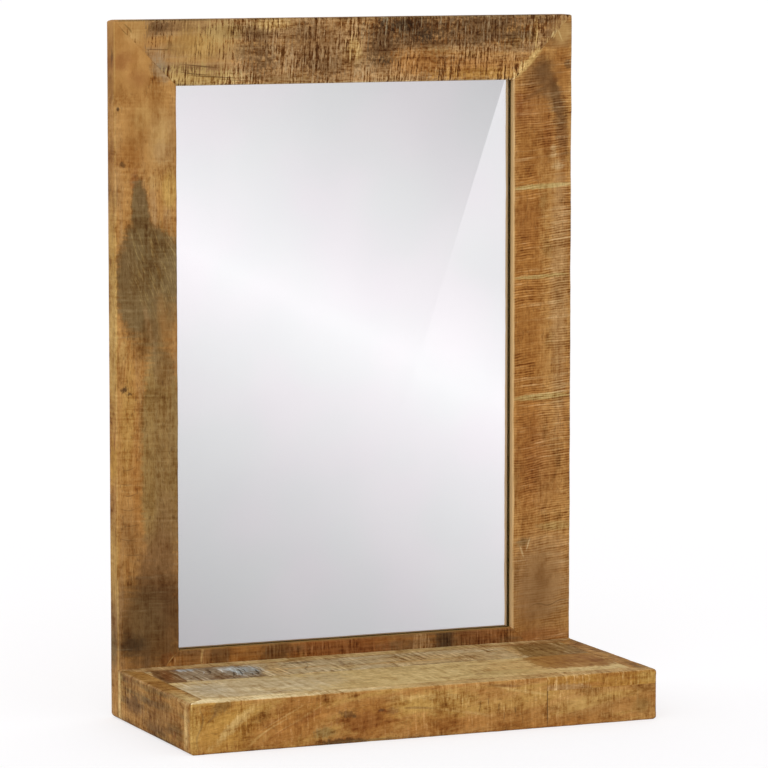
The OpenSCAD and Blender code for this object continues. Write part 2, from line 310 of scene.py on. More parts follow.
def frame_board(name, outward, along, seed):
    """A rail or stile: which way is outwards, which way it runs, and what its waves differ by."""
    half_length, half_reach = (HALF_H, HALF_W) if abs(along.z) > 0 else (HALF_W, HALF_H)
    full = RAIL_W - BOARD_LAP

    def at(inset, y, run):
        """A point so far in from the outer edge, at a depth, so far along from the middle."""
        return MIDDLE + outward * (half_reach - inset) + along * run + Vector((0, y, 0))

    ends = [at(0, -FRAME_T, -half_length), at(full, 0, half_length)]
    low = Vector(min(pair) for pair in zip(*ends))
    high = Vector(max(pair) for pair in zip(*ends))
    piece = block(name, low, high)
    for depth in (GLASS_FRONT, BOARD_FRONT):
        slice_at((0, depth, 0), FRONT)
    for inset, depth in ((full, BOARD_FRONT), (full + BOARD_LAP - GLASS_LAP, GLASS_FRONT)):
        side = at(inset, 0, 0)

        def is_side(face, side=side, depth=depth):
            middle = face.calc_center_median()
            return abs((middle - side).dot(outward)) < CLOSE and middle.y < depth

        pick(piece, "faces", is_side)
        bpy.ops.mesh.extrude_region_move(TRANSFORM_OT_translate={"value": -outward * GLASS_LAP})
    for inset in NEAR_EDGE:
        slice_at(at(inset * MM, 0, 0), outward)
        slice_at(at(RAIL_W - inset * MM, 0, 0), outward)
        slice_at((0, -FRAME_T + inset * MM, 0), FRONT)
    rows = round(RAIL_W / FACE_STEP)
    for row in range(1, rows):
        slice_at(at(row * RAIL_W / rows, 0, 0), outward)
    divide_along(piece, along, STEP)
    outer = (at(0, 0, 0), outward)
    sight = (at(RAIL_W, 0, 0), -outward)
    front = (at(0, -FRAME_T, 0), FRONT)
    mitres = []
    for end in (-1, 1):
        mitre = (at(0, 0, end * half_length), (along * end - outward).normalized())
        mitres.append(mitre)
        for inset in NEAR_EDGE:
            slice_at(at(0, 0, end * (half_length - inset * MM)), along)
        saw_off(*mitre)
    ease_joints(piece, front, mitres)
    leave_edit(piece)

    seams = seam_corners(piece, mitres)
    wave_face(piece, front, seed)
    wave_face(piece, outer, seed)
    wear_edges(piece, [(front, outer), (front, sight)])
    settle(piece, along, seams)
    for end in (-1, 1):
        way = outward + along * end
        side_way, end_way = Vector((way.x, 0, 0)), Vector((0, 0, way.z))
        round_corner(piece, at(0, 0, end * half_length), side_way, end_way, *CORNERS[way.x, way.z])
    return piece


UP, RIGHT = Vector((0, 0, 1)), Vector((1, 0, 0))
top_rail = frame_board("top_rail", UP, RIGHT, 1)
bottom_rail = frame_board("bottom_rail", -UP, RIGHT, 2)
left_stile = frame_board("left_stile", -RIGHT, UP, 3)
right_stile = frame_board("right_stile", RIGHT, UP, 4)

# %% [markdown]
# The keyhole plates lie flush in the backs of the stiles, over a pocket for the wall screw's
# head, and the shelf's screws are countersunk in the bottom rail. These hollows show from behind.
# They could be drawn with insets, but the board is already full of rows of edges, so a cutter of
# the right form is taken away from it with a Boolean modifier.

# %% A cutter
SIDES = 48


def take_away(piece, cutter):
    """Cut one shape out of a piece, and throw the cutter away."""
    let_go()
    bpy.context.view_layer.objects.active = piece
    hollow = piece.modifiers.new("hollow", "BOOLEAN")
    hollow.operation = "DIFFERENCE"
    hollow.solver = "EXACT"
    hollow.object = cutter
    bpy.ops.object.modifier_apply(modifier=hollow.name)
    bpy.data.objects.remove(cutter)


def long_hole(middle_x, low_z, high_z, radius, depth):
    """A round-ended cutter that goes into the wood from the back: a cylinder, drawn out upwards."""
    let_go()
    bpy.ops.mesh.primitive_cylinder_add(
        vertices=SIDES, radius=radius, depth=2 * depth, calc_uvs=False,
        location=(middle_x, 0, low_z), rotation=(math.radians(90), math.radians(180 / SIDES), 0))
    cutter = bpy.context.active_object
    bpy.ops.object.transform_apply(location=True, rotation=True, scale=True)
    for corner in cutter.data.vertices:
        if corner.co.z > low_z:
            corner.co.z += high_z - low_z
    return cutter


# %% Pockets for the plates and sinks for the screws
PLATE_GAP = 0.1 * MM
PLATE_SINK = 0.02 * MM
POCKET_DEPTH = 8.5 * MM
POCKET_R = 6 * MM
POCKET_SLIDE = 10 * MM
for stile, plate in ((left_stile, "left_keyhole_plate"), (right_stile, "right_keyhole_plate")):
    low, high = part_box(plate)
    radius = (high.x - low.x) / 2
    centre_x = (low.x + high.x) / 2
    take_away(stile, long_hole(centre_x, low.z + radius, high.z - radius, radius + PLATE_GAP,
                               -low.y + PLATE_SINK))
    entry_z = (low.z + high.z) / 2 - POCKET_SLIDE / 2
    take_away(stile, long_hole(centre_x, entry_z, entry_z + POCKET_SLIDE, POCKET_R, POCKET_DEPTH))

screw_low, screw_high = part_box("shelf_fixing_screws")
HEAD_R = (screw_high.z - screw_low.z) / 2
SINK_DEPTH = 0.8 * HEAD_R
SINK_MORE = 1.1 * MM
SCREWS = 4
first_x, last_x = screw_low.x + HEAD_R, screw_high.x - HEAD_R
screw_z = (screw_low.z + screw_high.z) / 2
for number in range(SCREWS):
    let_go()
    screw_x = first_x + number * (last_x - first_x) / (SCREWS - 1)
    bpy.ops.mesh.primitive_cone_add(
        vertices=32, radius1=HEAD_R + SINK_MORE, radius2=SINK_DEPTH / 2, depth=SINK_DEPTH, calc_uvs=False,
        location=(screw_x, MM - SINK_DEPTH / 2, screw_z), rotation=(math.radians(90), 0, 0))
    take_away(bottom_rail, bpy.context.active_object)
for piece in (top_rail, bottom_rail, left_stile, right_stile):
    shade(piece)
print("hollows cut in", left_stile.name, right_stile.name, bottom_rail.name)

# %% [markdown]
# ## The boards of the shelf
# The shelf is a hollow box: front, side and back boards mitred round it, and two slats let in
# flush between them. The front board is three lengths glued together: one long board, a short
# one at the right, and a thin strip on top of that one. One function saws a box board out of a
# block and cuts both its ends to planes, so it serves for the butt joints too.

# %% Saw a shelf board
SHELF_CORNER_R = 3 * MM
END_CORNER_R = 3.4 * MM
LOW_LEFT_R = 5.5 * MM


def box_board(name, low, high, along, ends, seed, faces, edges, near):
    """A board between two corners: ends are the planes to saw it off at, faces its sawn faces,
    edges the pairs of faces with a worn arris, near the (point, normal) planes to keep rows at."""
    piece = block(name, low, high)
    for point, normal in near:
        for inset in NEAR_EDGE:
            slice_at(point - normal * inset * MM, normal)
    for axis in (0, 1, 2):
        way = Vector([float(number == axis) for number in (0, 1, 2)])
        if abs(way.dot(along)) < 0.5:
            size = high[axis] - low[axis]
            rows = max(round(size / FACE_STEP), 1)
            for row in range(1, rows):
                slice_at(low + way * row * size / rows, way)
    divide_along(piece, along, STEP)
    for point, normal in ends:
        saw_off(point, normal)
    for face in faces:
        ease_joints(piece, face, ends)
    leave_edit(piece)
    seams = seam_corners(piece, ends)
    for face in faces:
        wave_face(piece, face, seed)
    wear_edges(piece, edges)
    settle(piece, along, seams)
    return piece


def plane(x, y, z, way):
    return Vector((x, y, z)), Vector(way).normalized()


# %% The front board's three lengths
top = plane(0, 0, SHELF_H, (0, 0, 1))
under = plane(0, 0, 0, (0, 0, -1))
shelf_front = plane(0, SHELF_FRONT, 0, (0, -1, 0))
left_side = plane(-HALF_W, 0, 0, (-1, 0, 0))
right_side = plane(HALF_W, 0, 0, (1, 0, 0))
JOINT_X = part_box("shelf_front_strip")[0].x
STRIP_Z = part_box("shelf_front_strip")[0].z
front_left_mitre = plane(-HALF_W, SHELF_FRONT, 0, (-1, 1, 0))
front_right_mitre = plane(HALF_W, SHELF_FRONT, 0, (1, 1, 0))
joint_left = plane(JOINT_X - HAIR, 0, 0, (1, 0, 0))
joint_right = plane(JOINT_X + HAIR, 0, 0, (-1, 0, 0))


def front_length(name, left, right, foot, head, ends, seed, faces, edges, near):
    """One length of the front board, between two places along it and two heights."""
    low = Vector((left, SHELF_FRONT, foot))
    high = Vector((right, SHELF_FRONT + BOARD_T, head))
    return box_board(name, low, high, RIGHT, ends, seed, faces, edges, near)


shelf_front_left = front_length(
    "shelf_front_left", -HALF_W, JOINT_X + MM, 0, SHELF_H, [front_left_mitre, joint_left], 5,
    [shelf_front, top], [(shelf_front, top), (shelf_front, under)], [top, under, shelf_front, left_side])
shelf_front_right = front_length(
    "shelf_front_right", JOINT_X - MM, HALF_W, 0, STRIP_Z, [front_right_mitre, joint_right], 6,
    [shelf_front], [(shelf_front, under)], [under, shelf_front, right_side])
shelf_strip = front_length(
    "shelf_strip", JOINT_X - MM, HALF_W, STRIP_Z, SHELF_H, [front_right_mitre, joint_right], 7,
    [shelf_front, top], [(shelf_front, top)], [top, shelf_front, right_side])

# %% [markdown]
# The side boards run from the front to the back board, with a mitre at each end, so they come
# from the same function. The rounding of a shelf corner goes through every board that meets
# there, and so each of them is bent by the same rule at the same place.

# %% The side boards, and the corners of the shelf
DEEP = Vector((0, 1, 0))


def side_board(name, side, seed):
    outer = right_side if side > 0 else left_side
    inner_x = side * (HALF_W - BOARD_T)
    low = Vector((min(side * HALF_W, inner_x), SHELF_FRONT, 0))
    high = Vector((max(side * HALF_W, inner_x), SHELF_BACK, SHELF_H))
    front_mitre = plane(side * HALF_W, SHELF_FRONT, 0, (-side, -1, 0))
    back_mitre = plane(side * HALF_W, SHELF_BACK, 0, (-side, 1, 0))
    return box_board(name, low, high, DEEP, [front_mitre, back_mitre], seed, [outer, top],
                     [(outer, top), (outer, under)], [top, under, outer, shelf_front])


shelf_left = side_board("shelf_left", -1, 8)
shelf_right = side_board("shelf_right", 1, 9)
at_each_end = {-1: (shelf_front_left, shelf_left), 1: (shelf_front_right, shelf_strip, shelf_right)}
for side, boards in at_each_end.items():
    outward = RIGHT * side
    for piece in boards:
        round_corner(piece, Vector((side * HALF_W, SHELF_FRONT, 0)), outward, FRONT, SHELF_CORNER_R)
        if piece is shelf_left:
            round_corner(piece, Vector((-HALF_W, 0, 0)), outward, -UP, LOW_LEFT_R)
        for height, way in ((0, -UP), (SHELF_H, UP)):
            place = Vector((side * HALF_W, SHELF_FRONT, height))
            radius = LOW_LEFT_R if side < 0 and height == 0 else END_CORNER_R
            face_way = FRONT if piece in (shelf_left, shelf_right) else outward
            round_corner(piece, place, face_way, way, radius)

# %% The back board
back_left_mitre = plane(-HALF_W, SHELF_BACK, 0, (-1, -1, 0))
back_right_mitre = plane(HALF_W, SHELF_BACK, 0, (1, -1, 0))
shelf_back = box_board(
    "shelf_back", Vector((-HALF_W, SHELF_BACK - BOARD_T, 0)), Vector((HALF_W, SHELF_BACK, SHELF_H)),
    RIGHT, [back_left_mitre, back_right_mitre], 10, [top], [], [top])
round_corner(shelf_back, Vector((-HALF_W, 0, 0)), -RIGHT, -UP, LOW_LEFT_R)

# %% [markdown]
# The two slats of the top are plain laths, flush with the boards round them. What shows of them
# is the fine dark line between neighbours, and that comes from the eased upper rim.

# %% The slats
SLAT_EASE = 0.6 * MM
SLAT_WAVE = 0.35 * MM


def slat(name, node, seed):
    """A slat of the top, its long edges eased so that a fine line shows where it meets its neighbours."""
    low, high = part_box(node)
    piece = block(name, low, high)
    width = high.y - low.y
    rows = round(width / FACE_STEP)
    for row in range(1, rows):
        slice_at((0, low.y + row * width / rows, 0), FRONT)
    divide_along(piece, RIGHT, 2 * STEP)

    def is_rim(edge):
        middle = (edge.verts[0].co + edge.verts[1].co) / 2
        inside = min(middle.x - low.x, high.x - middle.x, middle.y - low.y, high.y - middle.y)
        return inside < CLOSE and min(corner.co.z for corner in edge.verts) > high.z - CLOSE

    pick(piece, "edges", is_rim)
    bpy.ops.mesh.bevel(offset=SLAT_EASE, segments=2, affect="EDGES")
    leave_edit(piece)
    wave_face(piece, (high, UP), seed, SLAT_WAVE)
    return piece


front_slat = slat("front_slat", "shelf_front_slat", 11)
back_slat = slat("back_slat", "shelf_back_slat", 12)
shelf_boards = [shelf_front_left, shelf_front_right, shelf_strip, shelf_left, shelf_right, shelf_back,
                front_slat, back_slat]
for piece in shelf_boards:
    shade(piece)

# %% [markdown]
# ## The glass
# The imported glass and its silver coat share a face, as they do in the real mirror. A renderer
# can't tell which of two faces in the same place a ray meets first, so this pane stops a hair
# short of the silver. It has the ground rim that a glazier gives to a cut pane.

# %% The pane
GROUND_RIM = 0.7 * MM
glass_low, glass_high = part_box("mirror_glass")
mirror_pane = block("mirror_pane", glass_low, glass_high - Vector((0, HAIR, 0)))
pick(mirror_pane, "edges", lambda edge: abs(edge.verts[0].co.y - edge.verts[1].co.y) < HAIR)
bpy.ops.mesh.bevel(offset=GROUND_RIM, segments=2, affect="EDGES")
leave_edit(mirror_pane)

# %% [markdown]
# ## Writing finishes
# A finish is a network of small nodes. Wiring them by hand hides what they do, so a socket is
# wrapped in a class that lets a sum be written as a sum, and every other node comes from one
# method. All patterns read the piece's Object coordinates, turned into millimetres, so that a
# 3 mm fibre is a 3 mm fibre on every board and nothing slides when the object is seen from
# elsewhere.

# %% Sockets and sums
class Value:
    """An output socket. Sums and products with it add their Math nodes."""

    def __init__(self, finish, socket):
        self.finish = finish
        self.socket = socket

    def math(self, operation, first, second):
        return self.finish.node("Math", {"operation": operation}, {0: first, 1: second})

    def __add__(self, other):
        return self.math("ADD", self, other)

    def __sub__(self, other):
        return self.math("SUBTRACT", self, other)

    def __rsub__(self, other):
        return self.math("SUBTRACT", other, self)

    def __mul__(self, other):
        return self.math("MULTIPLY", self, other)

    def __truediv__(self, other):
        return self.math("DIVIDE", self, other)

    def __pow__(self, other):
        return self.math("POWER", self, other)

    def __abs__(self):
        return self.math("ABSOLUTE", self, 0)

    __radd__ = __add__
    __rmul__ = __mul__

    def at_least(self, other):
        return self.math("MAXIMUM", self, other)

    def at_most(self, other):
        return self.math("MINIMUM", self, other)

    def beside(self, output):
        """Another output of the same node, by its name or number."""
        return Value(self.finish, self.socket.node.outputs[output])


# %% [markdown]
# Every other node is added by one method, which is given the node's type, its settings and what
# its sockets hold. The short methods after it are the few patterns that all finishes share:
# noise of a size in millimetres, a soft step between two levels, and a mix of two colours.

# %% Nodes
SEED_STEP = (311.0, 173.0, 97.0)
BUMP_DEPTH = 0.3 * MM


class Finish:
    """The nodes of one material, or of the world."""

    def __init__(self, owner):
        self.owner = owner
        owner.use_nodes = True
        self.tree = owner.node_tree
        self.tree.nodes.clear()

    def node(self, kind, settings=None, inputs=None, output=0):
        """Add a node: its type, its settings, then its sockets' values or links. Gives one output."""
        made = self.tree.nodes.new("ShaderNode" + kind)
        for name, setting in (settings or {}).items():
            if name == "stops":
                self.set_stops(made.color_ramp, setting)
            else:
                setattr(made, name, setting)
        for name, value in (inputs or {}).items():
            if isinstance(value, Value):
                self.tree.links.new(value.socket, made.inputs[name])
            else:
                made.inputs[name].default_value = value
        return Value(self, made.outputs[output] if made.outputs else None)

    def set_stops(self, ramp, stops):
        while len(ramp.elements) < len(stops):
            ramp.elements.new(1)
        for element, (position, colour) in zip(ramp.elements, stops):
            element.position = position
            element.color = colour

    def vector(self, operation, first, second, third=(0, 0, 0)):
        return self.node("VectorMath", {"operation": operation}, {0: first, 1: second, 2: third})

    def length(self, vector):
        return self.node("VectorMath", {"operation": "LENGTH"}, {0: vector}, "Value")

    def scaled(self, colour, factor):
        """A colour or vector, made lighter or longer by a factor."""
        return self.node("VectorMath", {"operation": "SCALE"}, {0: colour, "Scale": factor})

    def mix(self, share, first, second):
        """Two colours mixed, as so much of the second over the first."""
        return self.node("Mix", {"data_type": "RGBA"}, {0: share, 6: first, 7: second}, 2)

    def ramp(self, value, stops):
        return self.node("ValToRGB", {"stops": stops}, {0: value})

    def bands(self, noise_value, stops):
        """Colours along a noise. Nearly all of it lies from 0.3 to 0.7, so that part is drawn out."""
        return self.ramp(self.step(noise_value, 0.3, 0.7), stops)

    def step(self, value, start, end, most=1):
        """A soft step: 0 up to start, most from end on. End may lie below start."""
        smooth = {"interpolation_type": "SMOOTHSTEP"}
        return self.node("MapRange", smooth, {0: value, 1: start, 2: end, 3: 0, 4: most})

    def millimetres(self):
        place = self.node("TexCoord", output="Object")
        return self.vector("MULTIPLY", place, (1000, 1000, 1000))

    def laid(self, place, shift, turn, size):
        """The place as seen from a pattern that lies there, turned and drawn to its size."""
        return self.node("Mapping", {"vector_type": "TEXTURE"}, {0: place, 1: shift, 2: turn, 3: size})

    def lumps(self, place, size, seed, detail=2, rough=0.5, turn=(0, 0, 0), output=0):
        """Noise with lumps of a size in mm along each axis, a number round 0.5, or a colour of three."""
        shift = Vector(SEED_STEP) * seed
        sockets = {"Vector": self.laid(place, shift, turn, size), "Scale": 1, "Detail": detail,
                   "Roughness": rough}
        return self.node("TexNoise", {}, sockets, output)

    def around(self, place, at, half, turn=None):
        """The place as seen from a patch: 0 in its middle, and 1 long at its rim. A turned patch needs
        Mapping; for the others one sum does, and a shader can hold many more of those."""
        if turn and turn.length:
            return self.laid(place, at, turn, half)
        shift = Vector([-middle / size for middle, size in zip(at, half)])
        return self.vector("MULTIPLY_ADD", place, Vector([1 / size for size in half]), shift)

    def surface(self, sockets, bump=None, depth=BUMP_DEPTH):
        """The shader at the end: Principled sockets by name, and a height that becomes bump."""
        if bump is not None:
            sockets["Normal"] = self.node("Bump", {}, {"Height": bump, "Distance": depth, "Strength": 1})
        shader = self.node("BsdfPrincipled", {}, sockets)
        self.node("OutputMaterial", {}, {"Surface": shader})
        print(self.owner.name, len(self.tree.nodes), "nodes")
        return self.owner


def new_finish(name):
    return Finish(bpy.data.materials.new(name))


def linear(code):
    """A colour written as on the web, as Blender's linear colour."""
    shares = [int(code[start:start + 2], 16) / 255 for start in (1, 3, 5)]
    bright = [share / 12.92 if share < 0.04 else ((share + 0.055) / 1.055) ** 2.4 for share in shares]
    return (*bright, 1)


def plain_grey(level):
    return (level, level, level, 1)


# %% [markdown]
# ## Wood
# Mango wood is honey coloured, with grey-brown heartwood that runs into it in tongues, and these
# boards kept their saw marks across the grain. No two boards look alike, and one noise over all
# of them would look like wallpaper. So the finish has two parts. The fibres, pores and saw marks
# are noise, stretched along each board's own run. The figure is painted in spots: soft ellipses of
# another tone, placed in millimetres on the face, whose rims are frayed by the fibres.

# %% Tones of the wood
TONE = {name: linear(code) for name, code in {
    "honey": "#B4844A", "amber": "#B58740", "straw": "#C9A568", "cream": "#DDC496", "tan": "#AC865A",
    "olive": "#8C7345", "khaki": "#B59A62", "russet": "#9C6831", "rust": "#8C5328", "brown": "#7E5A36",
    "umber": "#5A3D21", "soot": "#38291A", "grey": "#93856F", "pale": "#B5A78F", "ash": "#B2B6B8",
    "heart": "#77603D", "orange": "#A26C32", "gold": "#BB934F", "wheat": "#D4B880", "dust": "#C9B798",
    "chalk": "#EBD5A6", "biscuit": "#C8A268", "clay": "#C6AF88", "bark": "#9E8A72", "cork": "#A6793E",
    "fresh_and_lit": "#F4CC92", "walnut": "#8F6C3A", "frost": "#DDE3E6",
}.items()}
RUN_X, RUN_Y, RUN_Z = 0, 1, 2
print("tones", len(TONE))


def cell(run, along, across):
    """A size in mm: so long along the run of the fibres, so wide across them."""
    return Vector([along if axis == run else across for axis in range(3)])


# %% [markdown]
# A spot is easiest to place as it is seen, flat on a face: so far across and so far down. One
# function turns that into a place in the board, and a short one for each face knows where its
# corner is. Most spots go right through the board, as a stain does. Those of the shelf's top and
# of the frame's side stay shallow, so that they don't come through on the next face.

# %% Spots on a face
FAR = 100000.0
THIN = 2.5
SOFTNESS = 0.4
TOP_DEPTH, SIDE_DEPTH = 5, 3


def on_face(origin, across, down, spots, depth=FAR):
    """Spots painted on a face, from mm across and down it, and so deep into the board. Each is
    (tone, across, down, half width, half height, turn, strength) and maybe (softness, squareness)."""
    origin, across, down = Vector(origin), Vector(across), Vector(down)
    normal = across.cross(down)
    placed = []
    for tone_name, u, v, half_u, half_v, turn, strength, *rest in spots:
        half = [abs(a) * half_u + abs(d) * half_v + abs(n) * depth for a, d, n in zip(across, down, normal)]
        softness, square = rest + [SOFTNESS, 0][len(rest):]
        placed.append((tone_name, origin + across * u + down * v, half,
                       normal * math.radians(turn), strength, softness, square))
    return placed


def on_front(spots):
    """Spots on the frame's front, across from its left edge and down from its top."""
    return on_face((-HALF_W / MM, 0, FRAME_H / MM), (1, 0, 0), (0, 0, -1), spots)


def on_shelf_front(spots):
    return on_face((-HALF_W / MM, 0, SHELF_H / MM), (1, 0, 0), (0, 0, -1), spots)


def on_shelf_top(spots):
    """Spots on the shelf's top, across from its left edge and forward from its back edge."""
    return on_face((-HALF_W / MM, SHELF_BACK / MM, SHELF_H / MM), (1, 0, 0), (0, -1, 0), spots,
                   TOP_DEPTH)


def on_shelf_side(spots):
    """Spots on the shelf's sides, forward from the back edge and down from the top."""
    return on_face((0, SHELF_BACK / MM, SHELF_H / MM), (0, -1, 0), (0, 0, -1), spots)


def on_frame_side(spots):
    """Spots on the frame's left side, forward from the wall and down from the top."""
    return on_face((-HALF_W / MM, 0, FRAME_H / MM), (0, -1, 0), (0, 0, -1), spots, SIDE_DEPTH)


def line(tone_name, at, half, strength):
    """A crisp spot round a place, with no end where its half size is None: a line along an arris."""
    return [(tone_name, Vector(at), [FAR if size is None else size for size in half], strength)]


def strokes(tone, turn, *rows):
    """Fine spots of one tone and turn: each row is (across, down, half width, half height, strength)."""
    return [(tone, across, down, half_u, half_v, turn, strength)
            for across, down, half_u, half_v, strength in rows]


# %% [markdown]
# A spot or line is mixed over the colour by how far out a point lies in it. Fibres and marks are
# added to that distance, which frays the rim. A thin crack, a smooth place or a very soft patch
# would fall apart that way, so they fray less.

# %% Drawing lines and painting spots
CALM = 0.4


def draw(finish, colour, place, lines, streaks):
    """Draw lines over a colour, their rims a little ragged from the fibres."""
    for tone, at, half, strength in lines:
        far_out = finish.length(finish.around(place, at, half)) + (streaks - 0.5) * 0.8
        colour = finish.mix(finish.step(far_out, 1, 0.5, strength), colour, TONE[tone])
    return colour


def paint(finish, colour, spots, bent, ragged, frayed):
    """Paint spots over a colour. Gives the colour, and how coarse and how thready the wood is then."""
    calm = frayed * CALM
    coarse, thready = 1, 0
    for tone, at, half, turn, strength, softness, square in spots:
        thin = min(half) < THIN
        local = finish.around(bent if thin else ragged, at, half, turn)
        for _ in range(square):
            local = finish.vector("MULTIPLY", local, local)
        keeps_rim = thin or tone == "smooth" or softness == 0
        far_out = finish.length(local) + (calm if keeps_rim else frayed)
        share = finish.step(far_out, 1, softness, strength)
        if tone == "smooth":
            coarse = (1 - share) * coarse
        elif tone == "threads":
            thready = share + thready
        else:
            colour = finish.mix(share, colour, TONE[tone])
    return colour, coarse, thready


# %% [markdown]
# Now the wood itself, from the inside out. A slow noise bends the fibres, a torn one frays the
# rims of the spots. The growth figure gives the ground tone, the spots and lines go over it, and
# then fibres, saw marks, speckle and clouds make it lighter and darker. A plain multiply with
# grey would look like soot, so light and dark run through a ramp: the dark of wood is redder,
# its light paler. The sizes are (along the fibres, across them) in millimetres.

# %% The wood
LIGHT_AND_DARK = [
    (0, (0.20, 0.115, 0.04, 1)),
    (0.25, (0.375, 0.305, 0.215, 1)),
    (0.5, (0.51, 0.495, 0.455, 1)),
    (0.75, (0.615, 0.63, 0.635, 1)),
    (1, (0.77, 0.81, 0.86, 1)),
]
BEND, BEND_REACH = (110, 38), (30, 8)
GROWTH, STREAK, FIBRE = (170, 14), (46, 2.6), (14, 0.8)
CLOUD, THREAD, PORE = (34, 18), (20, 1.5), (5, 0.8)
ROUGH_PATCH = (30, 30, 30)
LONG_PITCH, LONG_REACH, LONG_SHARE = 1.1, 6, 0.38


def wood(name, run, seed, tones, spots, lines=(), crisp=(), fibre=1.0, sawn=1.0, grit=1.0, speck=9.0,
         cloud=1.0, pitch=3.0, reach=20.0, tilt=0.0, bright=0.3, ripple=0.0, fray=0.6, torn=(12, 3),
         pores=0.3, drift=0.3, slope=0.0, slant=0.0):
    """Waxed wood, its fibres along run. tones are ramp stops of the growth figure; spots are painted
    over it in order, then the lines, and the crisp ones over all marks. A spot "smooth" takes the
    marks away instead, and a spot "threads" lays pale fibres there, turned by slant. fibre, sawn,
    grit and cloud say how strongly the fibres, the saw marks, the speckle of about a speck in mm and
    the soft clouds show. The marks lie pitch apart, reach across the fibres and lean by tilt; bright
    is how pale their ridges are, and ripple adds an even beat to them. A spot's rim is torn so far
    along and across the fibres, and fray breaks it up along the marks. pores is how dark the pores
    are, drift how far the tone goes between red and olive, and slope turns the fibres."""
    finish = new_finish(name)
    place = finish.millimetres()
    sway = cell(run, *BEND_REACH)
    wander = finish.lumps(place, cell(run, *BEND), seed, 1, output=1)
    bent = finish.vector("ADD", place, finish.vector("MULTIPLY_ADD", wander, sway, -sway / 2))
    pull = cell(run, 2 * torn[0], 2 * torn[1])
    tear = finish.lumps(place, cell(run, *torn), seed + 8, 5, 0.7, output=1)
    ragged = finish.vector("ADD", place, finish.vector("MULTIPLY_ADD", tear, pull, -pull / 2))

    turned = Vector((0, math.radians(slope), 0))
    growth = finish.lumps(bent, cell(run, *GROWTH), seed + 1, 3, 0.55, turn=turned)
    streaks = finish.lumps(bent, cell(run, *STREAK), seed + 2, 4, 0.72, turn=turned)
    fibres = finish.lumps(bent, cell(run, *FIBRE), seed + 3, 2, 0.6, turn=turned)
    mottle = finish.lumps(place, (speck, speck, speck), seed + 4, 5, 0.68)
    clouds = finish.lumps(ragged, cell(run, *CLOUD), seed + 9, 3, 0.55)

    lean = Vector((math.radians(tilt) * (run == RUN_Y), math.radians(tilt) * (run != RUN_Y), 0))
    short_marks = finish.lumps(place, cell(run, pitch, reach), seed + 5, 5, 0.75, turn=lean)
    long_marks = finish.lumps(place, cell(run, pitch * LONG_PITCH, reach * LONG_REACH), seed + 10, 1,
                              turn=lean)
    marks = short_marks * (1 - LONG_SHARE) + long_marks * LONG_SHARE
    where = finish.step(finish.lumps(place, ROUGH_PATCH, seed + 6, 2), 0.36, 0.62)

    colour = finish.bands(growth, [(at, TONE[tone]) for at, tone in tones])
    colour = finish.mix(finish.step(clouds, 0.52, 0.66, drift), colour, TONE["russet"])
    colour = finish.mix(finish.step(clouds, 0.48, 0.34, drift), colour, TONE["olive"])
    frayed = (marks - 0.5) * (2 * fray) + (mottle - 0.5) * (0.8 * fray)
    colour, coarse, thready = paint(finish, colour, spots, bent, ragged, frayed)
    colour = draw(finish, colour, place, lines, streaks)
    if thready:
        slanted = Vector((0, math.radians(slant), 0))
        threads = finish.lumps(bent, cell(run, *THREAD), seed + 11, 4, 0.7, turn=slanted)
        colour = finish.mix(finish.step(threads, 0.5, 0.66) * thready * 0.4, colour, TONE["khaki"])

    furrow = finish.step(marks, 0.54, 0.66) * where
    ridge = finish.step(marks, 0.47, 0.36, bright) * (where * 0.7 + 0.3) * coarse
    colour = finish.mix(ridge, colour, TONE["cream"])
    flecks = finish.step(finish.lumps(bent, cell(run, *PORE), seed + 7, 0), 0.62, 0.76, pores)
    colour = finish.mix(flecks * coarse, colour, TONE["umber"])
    detail = ((streaks - 0.5) * (2.1 - where * 1.0) * fibre + (fibres - 0.5) * (0.7 * fibre)
              - (marks - 0.5) * (where * 2.2 + 0.6) * sawn + (mottle - 0.5) * (1.5 * grit))
    tone_level = 0.5 + detail * coarse + (clouds - 0.5) * (0.9 * cloud)
    if ripple:
        beat = finish.node("TexWave", {"bands_direction": "XYZ"[run]}, {
            "Vector": finish.laid(place, (0, 0, 0), lean, [pitch] * 3),
            "Scale": 0.314, "Distortion": 9.0, "Detail": 3.0, "Detail Scale": 0.22})
        tone_level = tone_level + (beat - 0.5) * (where * 0.8 + 0.2) * ripple * coarse
    colour = finish.scaled(finish.vector("MULTIPLY", colour, finish.ramp(tone_level, LIGHT_AND_DARK)), 2)
    colour = draw(finish, colour, place, crisp, streaks)

    height = streaks * fibre + fibres * (0.5 * fibre) - furrow * (0.7 * sawn) + mottle * (0.5 * grit)
    sheen = 0.6 - (streaks - 0.5) * 0.5 + furrow * 0.12
    return finish.surface({"Base Color": colour, "Roughness": sheen, "Specular IOR Level": 0.1}, height)
